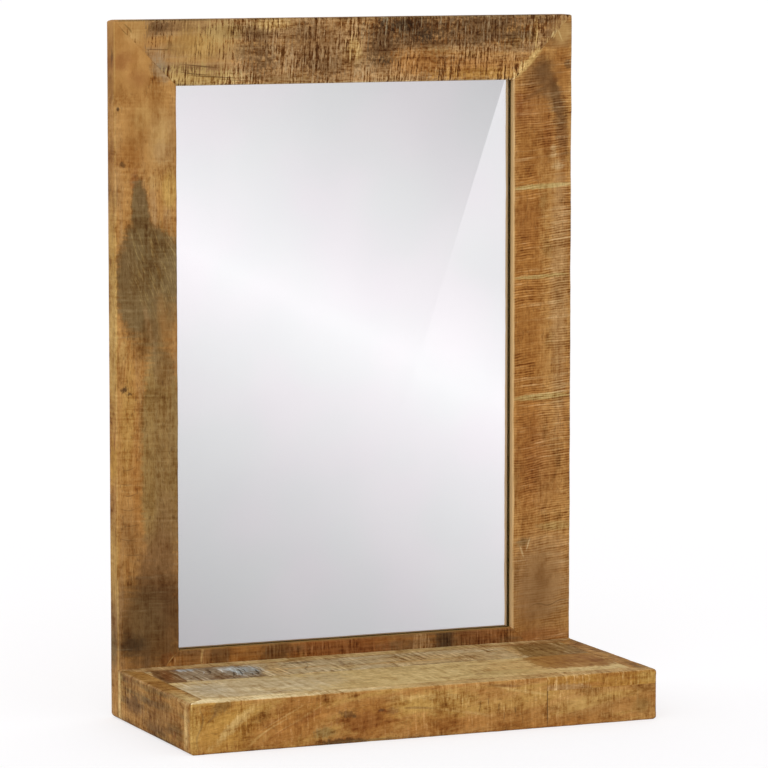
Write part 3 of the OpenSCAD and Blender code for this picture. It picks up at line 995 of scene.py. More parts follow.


# %% [markdown]
# ## The frame's boards
# Each board has its own list of spots, read off the photograph and in its own order: first the broad
# changes of tone, then knots, cracks and light places, and last worn arrises and the lips' painted
# highlights.
# The corners are painted on both boards that meet there, because the colour there doesn't keep to
# the mitre.

# %% Corners and arrises
FRONT_Y = -FRAME_T / MM
EDGE_X = HALF_W / MM
INNER_X = SIGHT_X / MM
TOP_Z = FRAME_H / MM
SIGHT_TOP = (FRAME_H - RAIL_W) / MM
SIGHT_FOOT = RAIL_W / MM
left_corner = on_front([
    ("honey", 0, 12, 34, 40, 0, 0.95, 0.9, 2), ("russet", 21, 42, 6, 22, 14, 0.5),
    ("rust", 6, 41, 20, 13, -16, 0.55, 0.2), ("rust", 26, 58, 16, 14, 0, 0.5, 0),
    ("biscuit", 24, 10, 18, 18, 0, 0.7, 0), ("walnut", 11, 8, 1.2, 8, -48, 0.8),
    ("brown", 34, 12, 1.6, 14, 0, 0.4), ("smooth", 12, 30, 28, 46, 0, 0.85, 0.85, 1),
])
right_corner = on_front([
    ("brown", 484, 16, 26, 26, 0, 0.7), ("biscuit", 489, 20, 12, 16, 20, 0.65),
    ("wheat", 482, 21, 1.0, 7, 24, 0.7), ("wheat", 487, 21, 1.0, 7, -24, 0.7),
    ("umber", 470, 4, 12, 5, 0, 0.5), ("russet", 488, 52, 18, 24, 0, 0.75),
    ("umber", 495, 52, 5, 6, 0, 0.6), ("brown", 462, 64, 30, 32, 10, 0.75, 0.2),
    ("rust", 448, 98, 26, 34, 0, 0.5, 0), ("umber", 466, 56, 14, 20, 24, 0.45, 0),
    ("straw", 450, 49, 4.5, 28, 45, 0.9, 0.5), ("straw", 459, 18, 3, 22, 0, 0.6),
    ("smooth", 486, 20, 20, 22, 0, 0.85), ("smooth", 478, 66, 26, 26, 0, 0.5),
])
outer_lines = (line("heart", (0, FRONT_Y, TOP_Z), (None, 2, 2), 0.75)
               + line("khaki", (EDGE_X, FRONT_Y, 0), (2, 2, None), 0.5))
# Painted highlight: the pale lip line and the gold rebate line behind it lift the shade of the glass's
# recess, over the lip's own fresh-cut pale wood.
lip_wear_and_highlight = (line("fresh_and_lit", (INNER_X, FRONT_Y + 5, 0), (3, 7, None), 0.95)
             + line("gold", (INNER_X + 4, FRONT_Y + 9, 0), (8, 4, None), 0.95))
print("corner spots", len(left_corner), len(right_corner), "lines", len(outer_lines), len(lip_wear_and_highlight))

# %% [markdown]
# The top rail was cut where heartwood and sapwood meet: worn gold with dark cracks at the left, a
# tongue of brown in the middle, and nearly black wood along its upper right. Its saw marks are the
# coarsest of all, so spots and marks break each other up.

# %% The top rail
top_rail_wood = wood(
    "top_rail_wood", RUN_X, 1, [(0, "brown"), (0.5, "tan"), (1, "honey")], on_front([
        ("tan", 230, 33, 150, 60, 0, 0.6), ("biscuit", 95, 24, 50, 34, 0, 0.7, 0),
        ("gold", 90, 26, 36, 22, 0, 0.5, 0), ("khaki", 112, 14, 24, 14, 0, 0.5),
        ("smooth", 82, 28, 62, 42, 0, 0.85, 0.6), ("grey", 48, 48, 15, 20, -20, 0.6, 0),
        ("khaki", 84, 60, 60, 14, 0, 0.7), ("straw", 84, 58, 44, 8, 4, 0.5),
        ("umber", 47, 6, 18, 10, 0, 0.7, 0.2), ("umber", 46, 30, 20, 0.8, 2, 0.6),
        ("umber", 88, 46, 24, 0.8, 6, 0.7), ("umber", 84, 53, 22, 0.8, 7, 0.6),
        ("umber", 104, 57, 36, 0.9, 7, 0.7), ("umber", 74, 63, 24, 0.8, 4, 0.6),
        ("umber", 128, 62, 26, 0.8, 6, 0.5), ("umber", 154, 30, 26, 40, 0, 0.65, 0.2),
        ("umber", 160, 46, 16, 12, 0, 0.5, 0.2), ("straw", 170, 5, 24, 8, 0, 0.7),
        ("brown", 215, 30, 44, 36, 0, 0.7), ("umber", 205, 14, 18, 14, 0, 0.45, 0.2),
        ("umber", 226, 50, 40, 16, 8, 0.5, 0.2), ("straw", 257, 31, 10, 14, 0, 0.7),
        ("umber", 288, 24, 24, 36, 0, 0.9, 0.2), ("umber", 330, 14, 54, 26, 0, 0.95, 0.2),
        ("soot", 308, 8, 34, 9, 0, 0.7, 0.2), ("soot", 338, 20, 20, 9, 0, 0.8, 0.2),
        ("soot", 293, 45, 18, 6, 0, 0.8, 0.2), ("umber", 405, 12, 76, 26, 2, 0.9, 0.2),
        ("russet", 330, 46, 40, 16, 0, 0.85), ("russet", 390, 54, 70, 18, 0, 0.8, 0.2),
        ("amber", 400, 60, 60, 8, 0, 0.5),
    ]) + left_corner + right_corner,
    outer_lines + line("cream", (0, FRONT_Y, SIGHT_TOP), (None, 1.8, 1.8), 0.5),
    fibre=0.9, sawn=3.4, speck=3.5, cloud=0.9, pitch=1.7, reach=8, tilt=4, bright=0.25, fray=2.4,
    torn=(3, 8), drift=0.4)

# %% [markdown]
# The bottom rail shows only as a strip between mirror and shelf. Its darker browns are partly the wood's
# own tone and partly painted shade from that place. Its lip catches the light, so two lighter lines are
# drawn there over everything else as a painted highlight.

# %% The bottom rail
# Painted shade and highlight: the brown ground tones are partly painted shade, and the crisp cork and gold
# lines on the lip and rebate are a painted highlight.
bottom_rail_wood = wood(
    "bottom_rail_wood", RUN_X, 2, [(0, "brown"), (0.5, "brown"), (1, "russet")], on_front([
        ("brown", 90, 640, 40, 30, 0, 0.5), ("umber", 110, 640, 14, 30, 0, 0.5),
        ("straw", 96, 640, 1.6, 20, 0, 0.5), ("straw", 58, 642, 0.9, 10, 45, 0.5),
        ("umber", 171, 640, 22, 40, 0, 0.7), ("rust", 245, 640, 70, 30, 0, 0.7),
        ("tan", 330, 640, 10, 20, 0, 0.5), ("soot", 358, 640, 14, 20, 0, 0.75),
        ("umber", 392, 640, 24, 30, 0, 0.5), ("rust", 400, 640, 40, 20, 0, 0.5),
    ]), (), line("cork", (0, FRONT_Y + 6, SIGHT_FOOT), (None, 6, 3), 0.9)
    + line("gold", (0, FRONT_Y + 9, SIGHT_FOOT - 4), (None, 4, 8), 0.95),
    fibre=0.6, sawn=1.2, grit=0.9, pitch=2.0, reach=14, bright=0.08, fray=1.0, torn=(4, 8))

# %% [markdown]
# The left stile is planed smooth, with a large lens of grey-brown heartwood, fine dark saw cuts
# below it, and dark wood at its foot. The lens has a crisp edge and slanting pale threads, so it
# is built up from turned spots. A turned spot costs the renderer more, so there are few of them.

# %% The left stile
left_stile_wood = wood(
    "left_stile_wood", RUN_Z, 3, [(0, "tan"), (0.5, "honey"), (1, "honey")], on_front([
        ("honey", 33, 100, 60, 110, 0, 0.7), ("gold", 54, 14, 16, 22, 0, 0.7),
        ("grey", 50, 48, 14, 18, -20, 0.5), ("tan", 50, 120, 18, 40, 0, 0.4),
        ("orange", 14, 136, 20, 20, 0, 0.6), ("rust", 20, 160, 6, 16, 6, 0.6),
        ("umber", 4, 87, 2.4, 3, 0, 0.9), ("umber", 8, 143, 4, 4, 0, 0.7),
        ("gold", 58, 168, 12, 28, 0, 0.8), ("olive", 48, 440, 27, 130, 0, 0.75, 0.8),
        ("brown", 54, 505, 18, 45, 0, 0.5), ("brown", 50, 430, 18, 120, 0, 0.3, 0),
        ("brown", 52, 346, 18, 30, 0, 0.45), ("umber", 27, 190, 11, 39, -4, 0.4, 0.8),
        ("umber", 22, 262, 25, 60, 0, 0.4, 0.85), ("umber", 44, 238, 22, 58, -32, 0.25, 0.8),
        ("heart", 27, 190, 10, 38, -4, 0.88, 0.7), ("heart", 44, 238, 21, 56, -32, 0.88, 0.7),
        ("heart", 22, 262, 24, 58, 0, 0.88, 0.7), ("heart", 60, 232, 16, 44, -45, 0.88, 0.5),
        ("heart", 46, 290, 30, 72, 12, 0.8, 0.3), ("umber", 28, 176, 8, 16, 0, 0.3),
        ("umber", 12, 240, 9, 30, 0, 0.3), ("russet", 52, 306, 9, 40, -8, 0.4, 0),
        ("tan", 34, 300, 5, 30, -12, 0.4, 0), ("khaki", 54, 214, 0.7, 20, -32, 0.35),
        ("khaki", 60, 232, 0.7, 18, -34, 0.35), ("threads", 42, 250, 36, 64, -20, 1, 0.5),
        ("threads", 48, 410, 22, 140, 0, 0.7, 0), ("honey", 12, 196, 7, 9, 20, 0.6),
        ("honey", 13, 430, 18, 120, 3, 0.97, 0.4), ("gold", 12, 400, 10, 80, 3, 0.5),
        ("orange", 22, 470, 8, 70, 0, 0.6), ("brown", 14, 516, 20, 50, 0, 0.5, 0),
        *strokes("umber", 0, (14, 446, 9, 0.8, 0.4), (10, 461, 8, 0.8, 0.35), (15, 472, 10, 0.8, 0.45),
                 (12, 486, 11, 0.8, 0.4), (16, 503, 9, 0.8, 0.4), (11, 519, 9, 0.8, 0.45),
                 (17, 534, 12, 0.8, 0.4), (24, 590, 18, 0.8, 0.4), (34, 602, 22, 0.8, 0.35),
                 (20, 626, 18, 0.8, 0.45), (40, 634, 18, 0.8, 0.35)),
        ("straw", 8, 330, 6, 20, 10, 0.5), ("umber", 9, 366, 4.5, 5, 0, 0.95),
        ("umber", 14, 372, 3.5, 3, 0, 0.8), ("russet", 18, 362, 6, 6, 0, 0.5),
        ("brown", 44, 560, 34, 70, 0, 0.9), ("umber", 36, 606, 60, 72, 0, 0.85, 0.4),
        ("heart", 30, 600, 26, 40, 0, 0.35), ("tan", 2, 590, 5, 50, 0, 0.4),
        ("soot", 16, 625, 22, 18, 0, 0.7, 0.2), ("rust", 56, 642, 14, 10, 0, 0.4),
        ("straw", 58, 642, 0.9, 10, 45, 0.5), ("biscuit", 48, 118, 20, 46, 0, 0.75, 0),
        ("straw", 30, 96, 12, 20, 20, 0.3), ("tan", 50, 130, 12, 14, 0, 0.5),
        ("straw", 42, 160, 12, 12, 0, 0.3), ("smooth", 36, 108, 44, 50, 0, 0.7),
        ("smooth", 48, 300, 30, 40, 0, 0.3),
    ]) + left_corner + on_frame_side([
        ("gold", 10, 290, 20, 150, 0, 0.9), ("straw", 10, 310, 20, 80, 0, 0.5),
        ("umber", 14, 36, 5, 12, 0, 0.6), ("amber", 8, 440, 20, 34, 0, 0.9),
        ("rust", 14, 420, 4, 14, 0, 0.6), ("gold", 10, 540, 20, 70, 0, 0.6),
        ("heart", 8, 630, 12, 24, 0, 0.7),
    ]), outer_lines + line("straw", (-EDGE_X, FRONT_Y, 0), (1.8, 1.8, None), 0.5),
    fibre=0.6, sawn=0.4, grit=0.65, speck=6, cloud=1.3, pitch=3.0, reach=22, tilt=2, bright=0.06, fray=0.3,
    torn=(9, 5), pores=0.4, slant=-20)

# %% [markdown]
# The right stile has the evenest saw marks, nearly level and about 3 mm apart, so it gets the
# ripple. Three pale bands cross it. The mirror's side of its lip and the rebate behind it are drawn
# pale: partly fresh-cut, pale wood, and partly a painted highlight that lifts the shade of the recess.

# %% The right stile
right_stile_wood = wood(
    "right_stile_wood", RUN_Z, 4, [(0, "russet"), (0.5, "honey"), (1, "honey")], on_front([
        ("orange", 450, 300, 22, 300, 0, 0.85, 0.5), ("rust", 450, 215, 18, 36, 0, 0.25),
        ("rust", 462, 460, 44, 90, 0, 0.5, 0), ("tan", 486, 280, 14, 190, 0, 0.6),
        ("russet", 450, 110, 30, 60, 0, 0.5), ("honey", 456, 104, 20, 30, 0, 0.4, 0.3),
        ("rust", 476, 120, 24, 40, -16, 0.4, 0), ("umber", 462, 78, 3, 34, 62, 0.5),
        ("brown", 476, 76, 14, 40, -22, 0.7), ("umber", 482, 86, 7, 40, -14, 0.6),
        ("brown", 488, 116, 10, 40, -6, 0.6), ("cream", 479, 140, 5, 9, 0, 0.3),
        ("cream", 484, 156, 9, 6, 0, 0.25), ("russet", 447, 150, 18, 24, 0, 0.6),
        ("rust", 440, 90, 5, 18, 0, 0.5), ("khaki", 467, 176, 45, 3.4, -3, 0.9),
        ("khaki", 467, 269, 45, 2.8, -3, 0.75), ("khaki", 467, 394, 45, 4.4, -2, 0.85),
        ("khaki", 482, 530, 26, 7, 0, 0.6), ("tan", 467, 584, 50, 70, 0, 0.75, 0.3),
        ("brown", 460, 600, 54, 80, 0, 0.55, 0), ("heart", 446, 545, 10, 5, -20, 0.6),
        ("cream", 450, 546, 1.2, 8, 20, 0.5), ("cream", 443, 552, 1.2, 9, -20, 0.4),
        ("umber", 476, 612, 30, 0.8, 0, 0.5), ("rust", 467, 648, 50, 16, 0, 0.5),
        ("smooth", 467, 595, 50, 80, 0, 0.8, 0),
    ]) + right_corner, outer_lines, lip_wear_and_highlight,
    fibre=0.4, sawn=0.75, grit=0.8, speck=5, cloud=0.9, pitch=2.6, reach=30, tilt=-5, bright=0.2,
    ripple=0.5, torn=(2, 3))

# %% [markdown]
# ## The shelf's boards
# The shelf is the part that was used: its top is bleached to grey beige where it was wet, and
# one slat still shows the blue-grey of old paint. The front is the most colourful face, with a
# dark upright joint where two lengths meet, and a strip glued on above the shorter one.

# %% Lines on the shelf
SHELF_TOP_Z = SHELF_H / MM
SHELF_FRONT_Y = SHELF_FRONT / MM
joint_line = line("umber", (JOINT_X / MM, SHELF_FRONT_Y, 24), (0.8, 3, 30), 0.75)
RIM_Y = SHELF_FRONT_Y + BOARD_T / MM / 2
rim_lines = (line("wheat", (-40, RIM_Y, SHELF_TOP_Z), (None, 13, 1.6), 0.6)
             + line("chalk", (-200, RIM_Y, SHELF_TOP_Z), (190, 16, 1.6), 0.8)
             + line("honey", (200, RIM_Y, SHELF_TOP_Z), (130, 16, 1.6), 0.35))
print("joint", len(joint_line), "rim lines", len(rim_lines))

# %% The shelf's front
front_spots = on_shelf_front([
    ("amber", 35, 25, 50, 40, 0, 0.8), ("gold", 4, 25, 8, 40, 0, 0.8), ("heart", 10, 24, 1.6, 30, 0, 0.4),
    ("straw", 46, 25, 6, 36, 50, 0.8), ("orange", 62, 40, 4, 16, 50, 0.4),
    ("walnut", 33, 4, 16, 8, -30, 0.8), ("brown", 20, 14, 10, 2, -50, 0.5),
    ("orange", 110, 24, 56, 34, -30, 0.85), ("straw", 100, 20, 1.2, 34, 62, 0.3),
    ("straw", 88, 30, 1.2, 30, 62, 0.3), ("straw", 112, 26, 1, 26, 64, 0.25),
    ("straw", 126, 18, 1, 24, 66, 0.25), ("straw", 78, 36, 1, 22, 58, 0.3),
    ("rust", 106, 30, 1.2, 30, 62, 0.35), ("rust", 94, 22, 1, 26, 60, 0.35),
    ("rust", 128, 20, 3, 30, 62, 0.4), ("rust", 165, 42, 44, 9, 0, 0.35, 0),
    ("orange", 190, 28, 46, 26, 0, 0.9), ("rust", 180, 30, 34, 14, 0, 0.45),
    ("brown", 212, 22, 10, 5, 0, 0.5), ("olive", 140, 38, 14, 7, 0, 0.7),
    ("umber", 160, 48, 32, 3.5, 0, 0.85), ("umber", 166, 22, 14, 4, 14, 0.6),
    ("rust", 200, 21, 8, 4, 0, 0.9), ("umber", 202, 21, 4, 2, 0, 0.7),
    ("umber", 176, 26, 2.4, 2.4, 0, 0.6), ("gold", 262, 16, 60, 16, 3, 0.7),
    ("brown", 240, 21, 26, 1.6, 3, 0.5), ("straw", 250, 11, 55, 4, 3, 0.5),
    ("straw", 292, 29, 40, 2, 12, 0.7), ("orange", 262, 38, 60, 14, 0, 0.7),
    ("straw", 352, 12, 50, 2, 12, 0.6), ("brown", 330, 5, 30, 1.8, 5, 0.45),
    ("orange", 340, 42, 80, 8, 4, 0.6), ("honey", 340, 30, 60, 22, 0, 0.5),
    ("biscuit", 425, 30, 60, 20, 0, 0.45, 0), ("smooth", 430, 32, 60, 22, 0, 0.45, 0),
    *strokes("umber", 0, (303, 24, 0.8, 9, 0.5), (312, 18, 0.8, 6, 0.5), (324, 26, 0.9, 7, 0.6),
             (330, 36, 0.8, 6, 0.5), (341, 30, 0.9, 5, 0.5), (348, 40, 0.8, 5, 0.4)),
    ("walnut", 484, 35, 18, 15, 0, 0.8, 0), ("heart", 180, 50, 60, 1.4, 0, 0.6),
    ("umber", 235, 50, 12, 3, 0, 0.5),
])
shelf_front_wood = wood(
    "shelf_front_wood", RUN_X, 5, [(0, "orange"), (0.5, "honey"), (1, "gold")], front_spots,
    rim_lines, joint_line, fibre=0.45, sawn=0.7, grit=0.8, speck=6, cloud=1.6, pitch=2.0, reach=7,
    bright=0.12, fray=0.9, torn=(6, 5), slope=-8)
shelf_strip_wood = wood(
    "shelf_strip_wood", RUN_X, 7, [(0, "orange"), (0.6, "amber"), (1, "honey")],
    on_shelf_front([("tan", 400, 12, 40, 5, 3, 0.7), ("gold", 490, 7, 20, 8, 0, 0.8)]),
    rim_lines, fibre=0.4, sawn=1.0, grit=0.8, speck=6, pitch=2.2, reach=8, torn=(5, 3))

# %% [markdown]
# The side boards are darker in the middle and rubbed pale at both ends. Their upper rims belong to
# the shelf's top, so those spots are placed on the top.

# %% The shelf's sides and back
side_spots = on_shelf_side([
    ("honey", 50, 50, 60, 24, 0, 0.6), ("biscuit", 3, 28, 11, 44, 0, 0.85, 0.4),
    ("khaki", 9, 8, 5, 10, 20, 0.5), ("umber", 28, 26, 6, 4, 0, 0.7), ("brown", 48, 28, 34, 13, 0, 0.8),
    ("honey", 50, 9, 44, 7, 0, 0.5), ("umber", 50, 21, 14, 4, 0, 0.6),
    ("umber", 48, 28, 30, 9, 0, 0.35, 0), ("umber", 66, 26, 26, 4, 0, 0.4),
    ("umber", 88, 19, 16, 4, 0, 0.6), ("brown", 120, 26, 60, 24, 0, 0.4),
    ("umber", 150, 36, 18, 5, -10, 0.4), ("rust", 163, 38, 6, 6, 0, 0.5),
    ("honey", 165, 16, 20, 12, 0, 0.5), ("rust", 30, 4, 20, 4, 0, 0.4), ("brown", 105, 40, 50, 8, 0, 0.5),
    ("biscuit", 194, 25, 9, 44, 0, 0.9, 0.2),
])
side_top_spots = on_shelf_top([
    ("cork", 8, 80, 16, 120, 0, 0.9), ("wheat", 8, 176, 16, 52, 0, 0.9, 0),
    ("cork", 490, 100, 14, 110, 0, 0.7),
])
shelf_side_wood = wood(
    "shelf_side_wood", RUN_Y, 8, [(0, "heart"), (0.5, "cork"), (1, "honey")], side_spots + side_top_spots,
    line("straw", (-EDGE_X, SHELF_FRONT_Y, 0), (2.4, 2.4, None), 0.25)
    + line("tan", (-EDGE_X, 0, SHELF_TOP_Z), (2.2, None, 2.2), 0.6),
    fibre=0.3, sawn=1.1, grit=1.1, speck=6, cloud=1.4, pitch=3.0, reach=14, bright=0.12, torn=(5, 5))
shelf_back_wood = wood(
    "shelf_back_wood", RUN_X, 10, [(0, "russet"), (0.5, "tan"), (1, "tan")],
    on_shelf_top([("wheat", 250, 5, 300, 20, 0, 0.7)]), sawn=0.6)

# %% [markdown]
# The front slat is bleached. The back slat has what is left of blue-grey paint, scratched through
# to dark wood: first the bare brown, then the paint, and the scratches last.

# %% The slats of the top
front_slat_wood = wood(
    "front_slat_wood", RUN_X, 11, [(0, "wheat"), (0.5, "wheat"), (1, "wheat")], on_shelf_top([
        ("dust", 90, 145, 110, 80, 0, 0.7), ("dust", 40, 145, 44, 60, 0, 0.6),
        ("pale", 44, 136, 26, 44, 0, 0.6, 0), ("clay", 165, 130, 40, 40, 10, 0.6),
        ("chalk", 110, 160, 50, 14, 14, 0.4), ("bark", 112, 172, 20, 3, 0, 0.5),
        ("clay", 186, 108, 20, 14, 0, 0.5), ("biscuit", 380, 140, 60, 60, 0, 0.7),
        ("khaki", 350, 160, 60, 14, 0, 0.5), ("cork", 440, 120, 44, 48, 6, 1.0, 0.7, 1),
        ("orange", 440, 120, 44, 48, 6, 0.35, 0.3), ("rust", 466, 120, 14, 36, 0, 0.3),
        ("rust", 410, 158, 16, 3, 0, 0.6), ("rust", 325, 160, 8, 4, 0, 0.5),
    ]), fibre=0.15, sawn=0.5, grit=0.8, speck=7, cloud=0.8, pitch=3.4, reach=26, tilt=-20, bright=0.1,
    torn=(5, 6), pores=0.1, drift=0.12)
back_slat_wood = wood(
    "back_slat_wood", RUN_X, 12, [(0, "biscuit"), (0.5, "clay"), (1, "clay")], on_shelf_top([
        ("biscuit", 150, 50, 10, 60, 12, 0.5), ("biscuit", 330, 70, 100, 50, 0, 0.5),
        ("brown", 34, 56, 15, 60, 12, 0.97, 0.85, 1), ("rust", 34, 50, 8, 50, 12, 0.4),
        ("bark", 88, 56, 44, 40, 10, 0.95, 0.85, 1), ("ash", 62, 26, 16, 12, 10, 0.8),
        ("ash", 116, 50, 24, 36, 10, 0.95), ("frost", 106, 36, 18, 14, 10, 0.7, 0),
        ("frost", 101, 62, 1.0, 22, 12, 0.6), ("frost", 90, 44, 0.8, 14, 12, 0.5),
        ("frost", 70, 46, 0.8, 18, 12, 0.4), ("brown", 82, 78, 16, 18, 10, 0.7),
        ("umber", 82, 38, 3, 20, 12, 0.6),
        *strokes("soot", 12, (106, 58, 1.2, 26, 0.8), (121, 62, 1.3, 22, 0.8), (97, 66, 1.1, 20, 0.7),
                 (76, 50, 0.9, 18, 0.6), (62, 60, 0.9, 16, 0.5), (88, 34, 1.0, 14, 0.7),
                 (113, 48, 0.9, 16, 0.7), (128, 52, 0.9, 16, 0.6), (113, 72, 0.8, 14, 0.6)),
        ("heart", 112, 88, 18, 6, 0, 0.7), ("umber", 186, 30, 22, 6, 0, 0.6),
        ("brown", 222, 50, 3, 24, 14, 0.5), ("umber", 176, 60, 1.6, 24, 14, 0.5),
        ("wheat", 216, 74, 24, 10, 0, 0.6), ("brown", 310, 40, 14, 6, 0, 0.3),
        ("olive", 330, 86, 70, 4, 0, 0.5), ("walnut", 454, 50, 42, 66, 6, 0.97, 0.8, 1),
        ("brown", 450, 34, 26, 24, 0, 0.35), ("biscuit", 412, 50, 8, 50, 12, 0.6),
    ]), fibre=0.2, sawn=1.2, grit=0.9, speck=6, cloud=0.8, pitch=3.0, reach=22, tilt=-20, bright=0.25,
    torn=(3, 7), pores=0.1, drift=0.15)

# %% [markdown]
# ## What is not hard wood
# Behind and inside there are plain pine, plywood, grey board and zinc-plated steel. Some of them
# show from behind, so each gets its own grain, knots, pulp or scuffs, by the same few methods as
# the wood but without spots.

# %% Pine, plywood, grey board and steel
def pine():
    finish = new_finish("pine")
    place = finish.millimetres()
    growth = finish.lumps(place, (60, 9, 9), 21, 2)
    fibres = finish.lumps(place, (24, 0.9, 0.9), 22, 2)
    colour = finish.bands(growth, [
        (0, linear("#C9A06A")), (0.6, linear("#D9B987")), (1, linear("#B5854D"))])
    colour = finish.scaled(colour, 1 + (fibres - 0.5) * 0.5)
    return finish.surface({"Base Color": colour, "Roughness": 0.65 + (fibres - 0.5) * 0.3}, fibres)


def plywood(name, run):
    finish = new_finish(name)
    place = finish.millimetres()
    growth = finish.lumps(place, cell(run, 300, 26), 23, 3, 0.6)
    fibres = finish.lumps(place, cell(run, 26, 0.9), 24, 3, 0.6)
    knots = finish.step(finish.lumps(place, cell(run, 34, 14), 25, 1), 0.76, 0.84)
    colour = finish.bands(growth, [
        (0, linear("#A5825A")), (0.5, linear("#BD9A6C")), (1, linear("#CBAC80"))])
    colour = finish.mix(knots * 0.6, colour, linear("#7B5330"))
    colour = finish.scaled(colour, 1 + (fibres - 0.5) * 0.6)
    return finish.surface({"Base Color": colour, "Roughness": 0.7 + (fibres - 0.5) * 0.2}, fibres, 0.2 * MM)


def grey_board():
    finish = new_finish("grey_board")
    place = finish.millimetres()
    pulp = finish.lumps(place, (1.6, 1.6, 1.6), 26, 4, 0.7)
    colour = finish.bands(pulp, [(0, linear("#7F7769")), (1, linear("#A59C8B"))])
    return finish.surface({"Base Color": colour, "Roughness": 0.85 + (pulp - 0.5) * 0.2}, pulp, 0.1 * MM)


def zinc():
    finish = new_finish("zinc_steel")
    place = finish.millimetres()
    scuffs = finish.lumps(place, (0.5, 4, 6), 27, 3, 0.7)
    clouds = finish.lumps(place, (3, 3, 3), 28, 2)
    colour = finish.bands(clouds, [(0, linear("#A9A79F")), (1, linear("#CFCDC4"))])
    rub = finish.step(scuffs, 0.58, 0.72)
    colour = finish.mix(rub * 0.5, colour, linear("#7D7A73"))
    dull = 0.34 + clouds * 0.16 + rub * 0.15
    return finish.surface({"Base Color": colour, "Metallic": 1.0, "Roughness": dull}, scuffs, 0.03 * MM)


# %% [markdown]
# The mirror is a slab of clear glass over a silver coat, as a real one is: the lip of the frame
# then shows twice at the right, once as itself and once in the silver, with the glass's thickness
# as a dark gap between.

# %% Silver and glass
def silver():
    """The coat behind the glass: bright, with clouds that are almost too faint to see."""
    finish = new_finish("silver_coat")
    place = finish.millimetres()
    clouds = finish.lumps(place, (120, 120, 120), 29, 1)
    colour = finish.mix(finish.step(clouds, 0.3, 0.7), linear("#FDFBFD"), linear("#FFFEFF"))
    return finish.surface({"Base Color": colour, "Metallic": 1.0, "Roughness": 0.0})


def glass():
    finish = new_finish("clear_glass")
    place = finish.millimetres()
    tint = finish.step(finish.lumps(place, (90, 90, 90), 30, 1), 0.3, 0.7)
    colour = finish.mix(tint, linear("#FDFFFE"), linear("#FFFFFF"))
    return finish.surface({"Base Color": colour, "Transmission Weight": 1.0, "Roughness": 0.0, "IOR": 1.5})


# %% [markdown]
# ## Every piece gets its finish
# A new board replaces its node and rides on the body.
# The nodes that stay as they were packed only change their material.

# %% New pieces
dressed = [
    (top_rail, top_rail_wood, "frame_wood", "frame_top_rail"),
    (bottom_rail, bottom_rail_wood, "frame_wood", "frame_bottom_rail"),
    (left_stile, left_stile_wood, "frame_wood", "frame_left_stile"),
    (right_stile, right_stile_wood, "frame_wood", "frame_right_stile"),
    (shelf_front_left, shelf_front_wood, "shelf_wood", "shelf_front_board_left"),
    (shelf_front_right, shelf_front_wood, "shelf_wood", "shelf_front_board_right"),
    (shelf_strip, shelf_strip_wood, "shelf_wood", "shelf_front_strip"),
    (shelf_left, shelf_side_wood, "shelf_wood", "shelf_left_board"),
    (shelf_right, shelf_side_wood, "shelf_wood", "shelf_right_board"),
    (shelf_back, shelf_back_wood, "shelf_wood", "shelf_back_board"),
    (front_slat, front_slat_wood, "shelf_top_wood", "shelf_front_slat"),
    (back_slat, back_slat_wood, "shelf_top_wood", "shelf_back_slat"),
    (mirror_pane, glass(), "clear_glass", "mirror_glass"),
]
for piece, finish, slot, replaced in dressed:
    piece.data.materials.clear()
    piece.data.materials.append(finish)
    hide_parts(replaced)
    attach(piece, "root")
print("new pieces", len(dressed))

# %% Nodes that stay
kept = [
    (pine(), ["frame_mitre_dowels", "shelf_front_cleat", "shelf_back_cleat", "shelf_bearers",
              "shelf_corner_blocks"]),
    (zinc(), ["backing_screws", "left_keyhole_plate", "right_keyhole_plate", "keyhole_plate_screws",
              "shelf_bottom_screws", "shelf_fixing_screws"]),
    (silver(), ["mirror_silvering"]),
    (grey_board(), ["packing_sheet"]),
    (plywood("backing_plywood", RUN_Z), ["backing_board"]),
    (plywood("bottom_plywood", RUN_X), ["shelf_bottom_panel"]),
]
for finish, node_names in kept:
    for node_name in node_names:
        for slot in nodes[node_name].material_slots:
            slot.material = finish
    print(finish.name, "on", *node_names)

# %% [markdown]
# ## Camera
# The photograph was taken from the left, from a little above the middle of the mirror, with
# a long lens. These numbers were found by laying the projected edges of the frame and the shelf
# over the photograph.

# %% The camera
CAMERA_AT = Vector((-1.7607, -4.2749, 0.8408))
TILT, TURN = math.radians(83.65), math.radians(-22.932)
lens = bpy.data.cameras.new("camera")
lens.lens = 213.76
lens.sensor_width = 36
camera = bpy.data.objects.new("camera", lens)
camera.location = CAMERA_AT
camera.rotation_euler = (TILT, 0, TURN)
bpy.context.scene.collection.objects.link(camera)
bpy.context.scene.camera = camera
bpy.context.scene.view_settings.view_transform = "Standard"
print("camera at", list(CAMERA_AT), "lens", lens.lens, "mm")

# %% [markdown]
# ## Light and floor
# A studio for small goods is a white tent. The world is that tent: an even white for the
# wood, so that each tone shows about as it is written, and for what is mirrored the soft greys of
# its cloth, with the fold that the photograph shows in the mirror. What is mirrored depends on the
# direction only, so it is drawn in the world, as height and width on the mirror's plane where the
# mirrored ray would have come through for this camera. Above and below the fold the cloth gets
# slowly darker, and right of a slanting seam a panel is a little brighter. One broad sun with a
# wide disc gives the faces a little form.

# %% The tent as a mirror sees it
GRAZING = 0.05
REACH = -CAMERA_AT.y - FRAME_T
world = bpy.data.worlds.new("tent")
bpy.context.scene.world = world
tent = Finish(world)
direction = tent.node("TexCoord", output="Generated")
way_x = tent.node("SeparateXYZ", {}, {0: direction})
way_y, way_z = way_x.beside(1), way_x.beside(2)
ahead = abs(way_y).at_least(GRAZING)
across = way_x / ahead * REACH + CAMERA_AT.x
height = way_z / ahead * REACH + CAMERA_AT.z

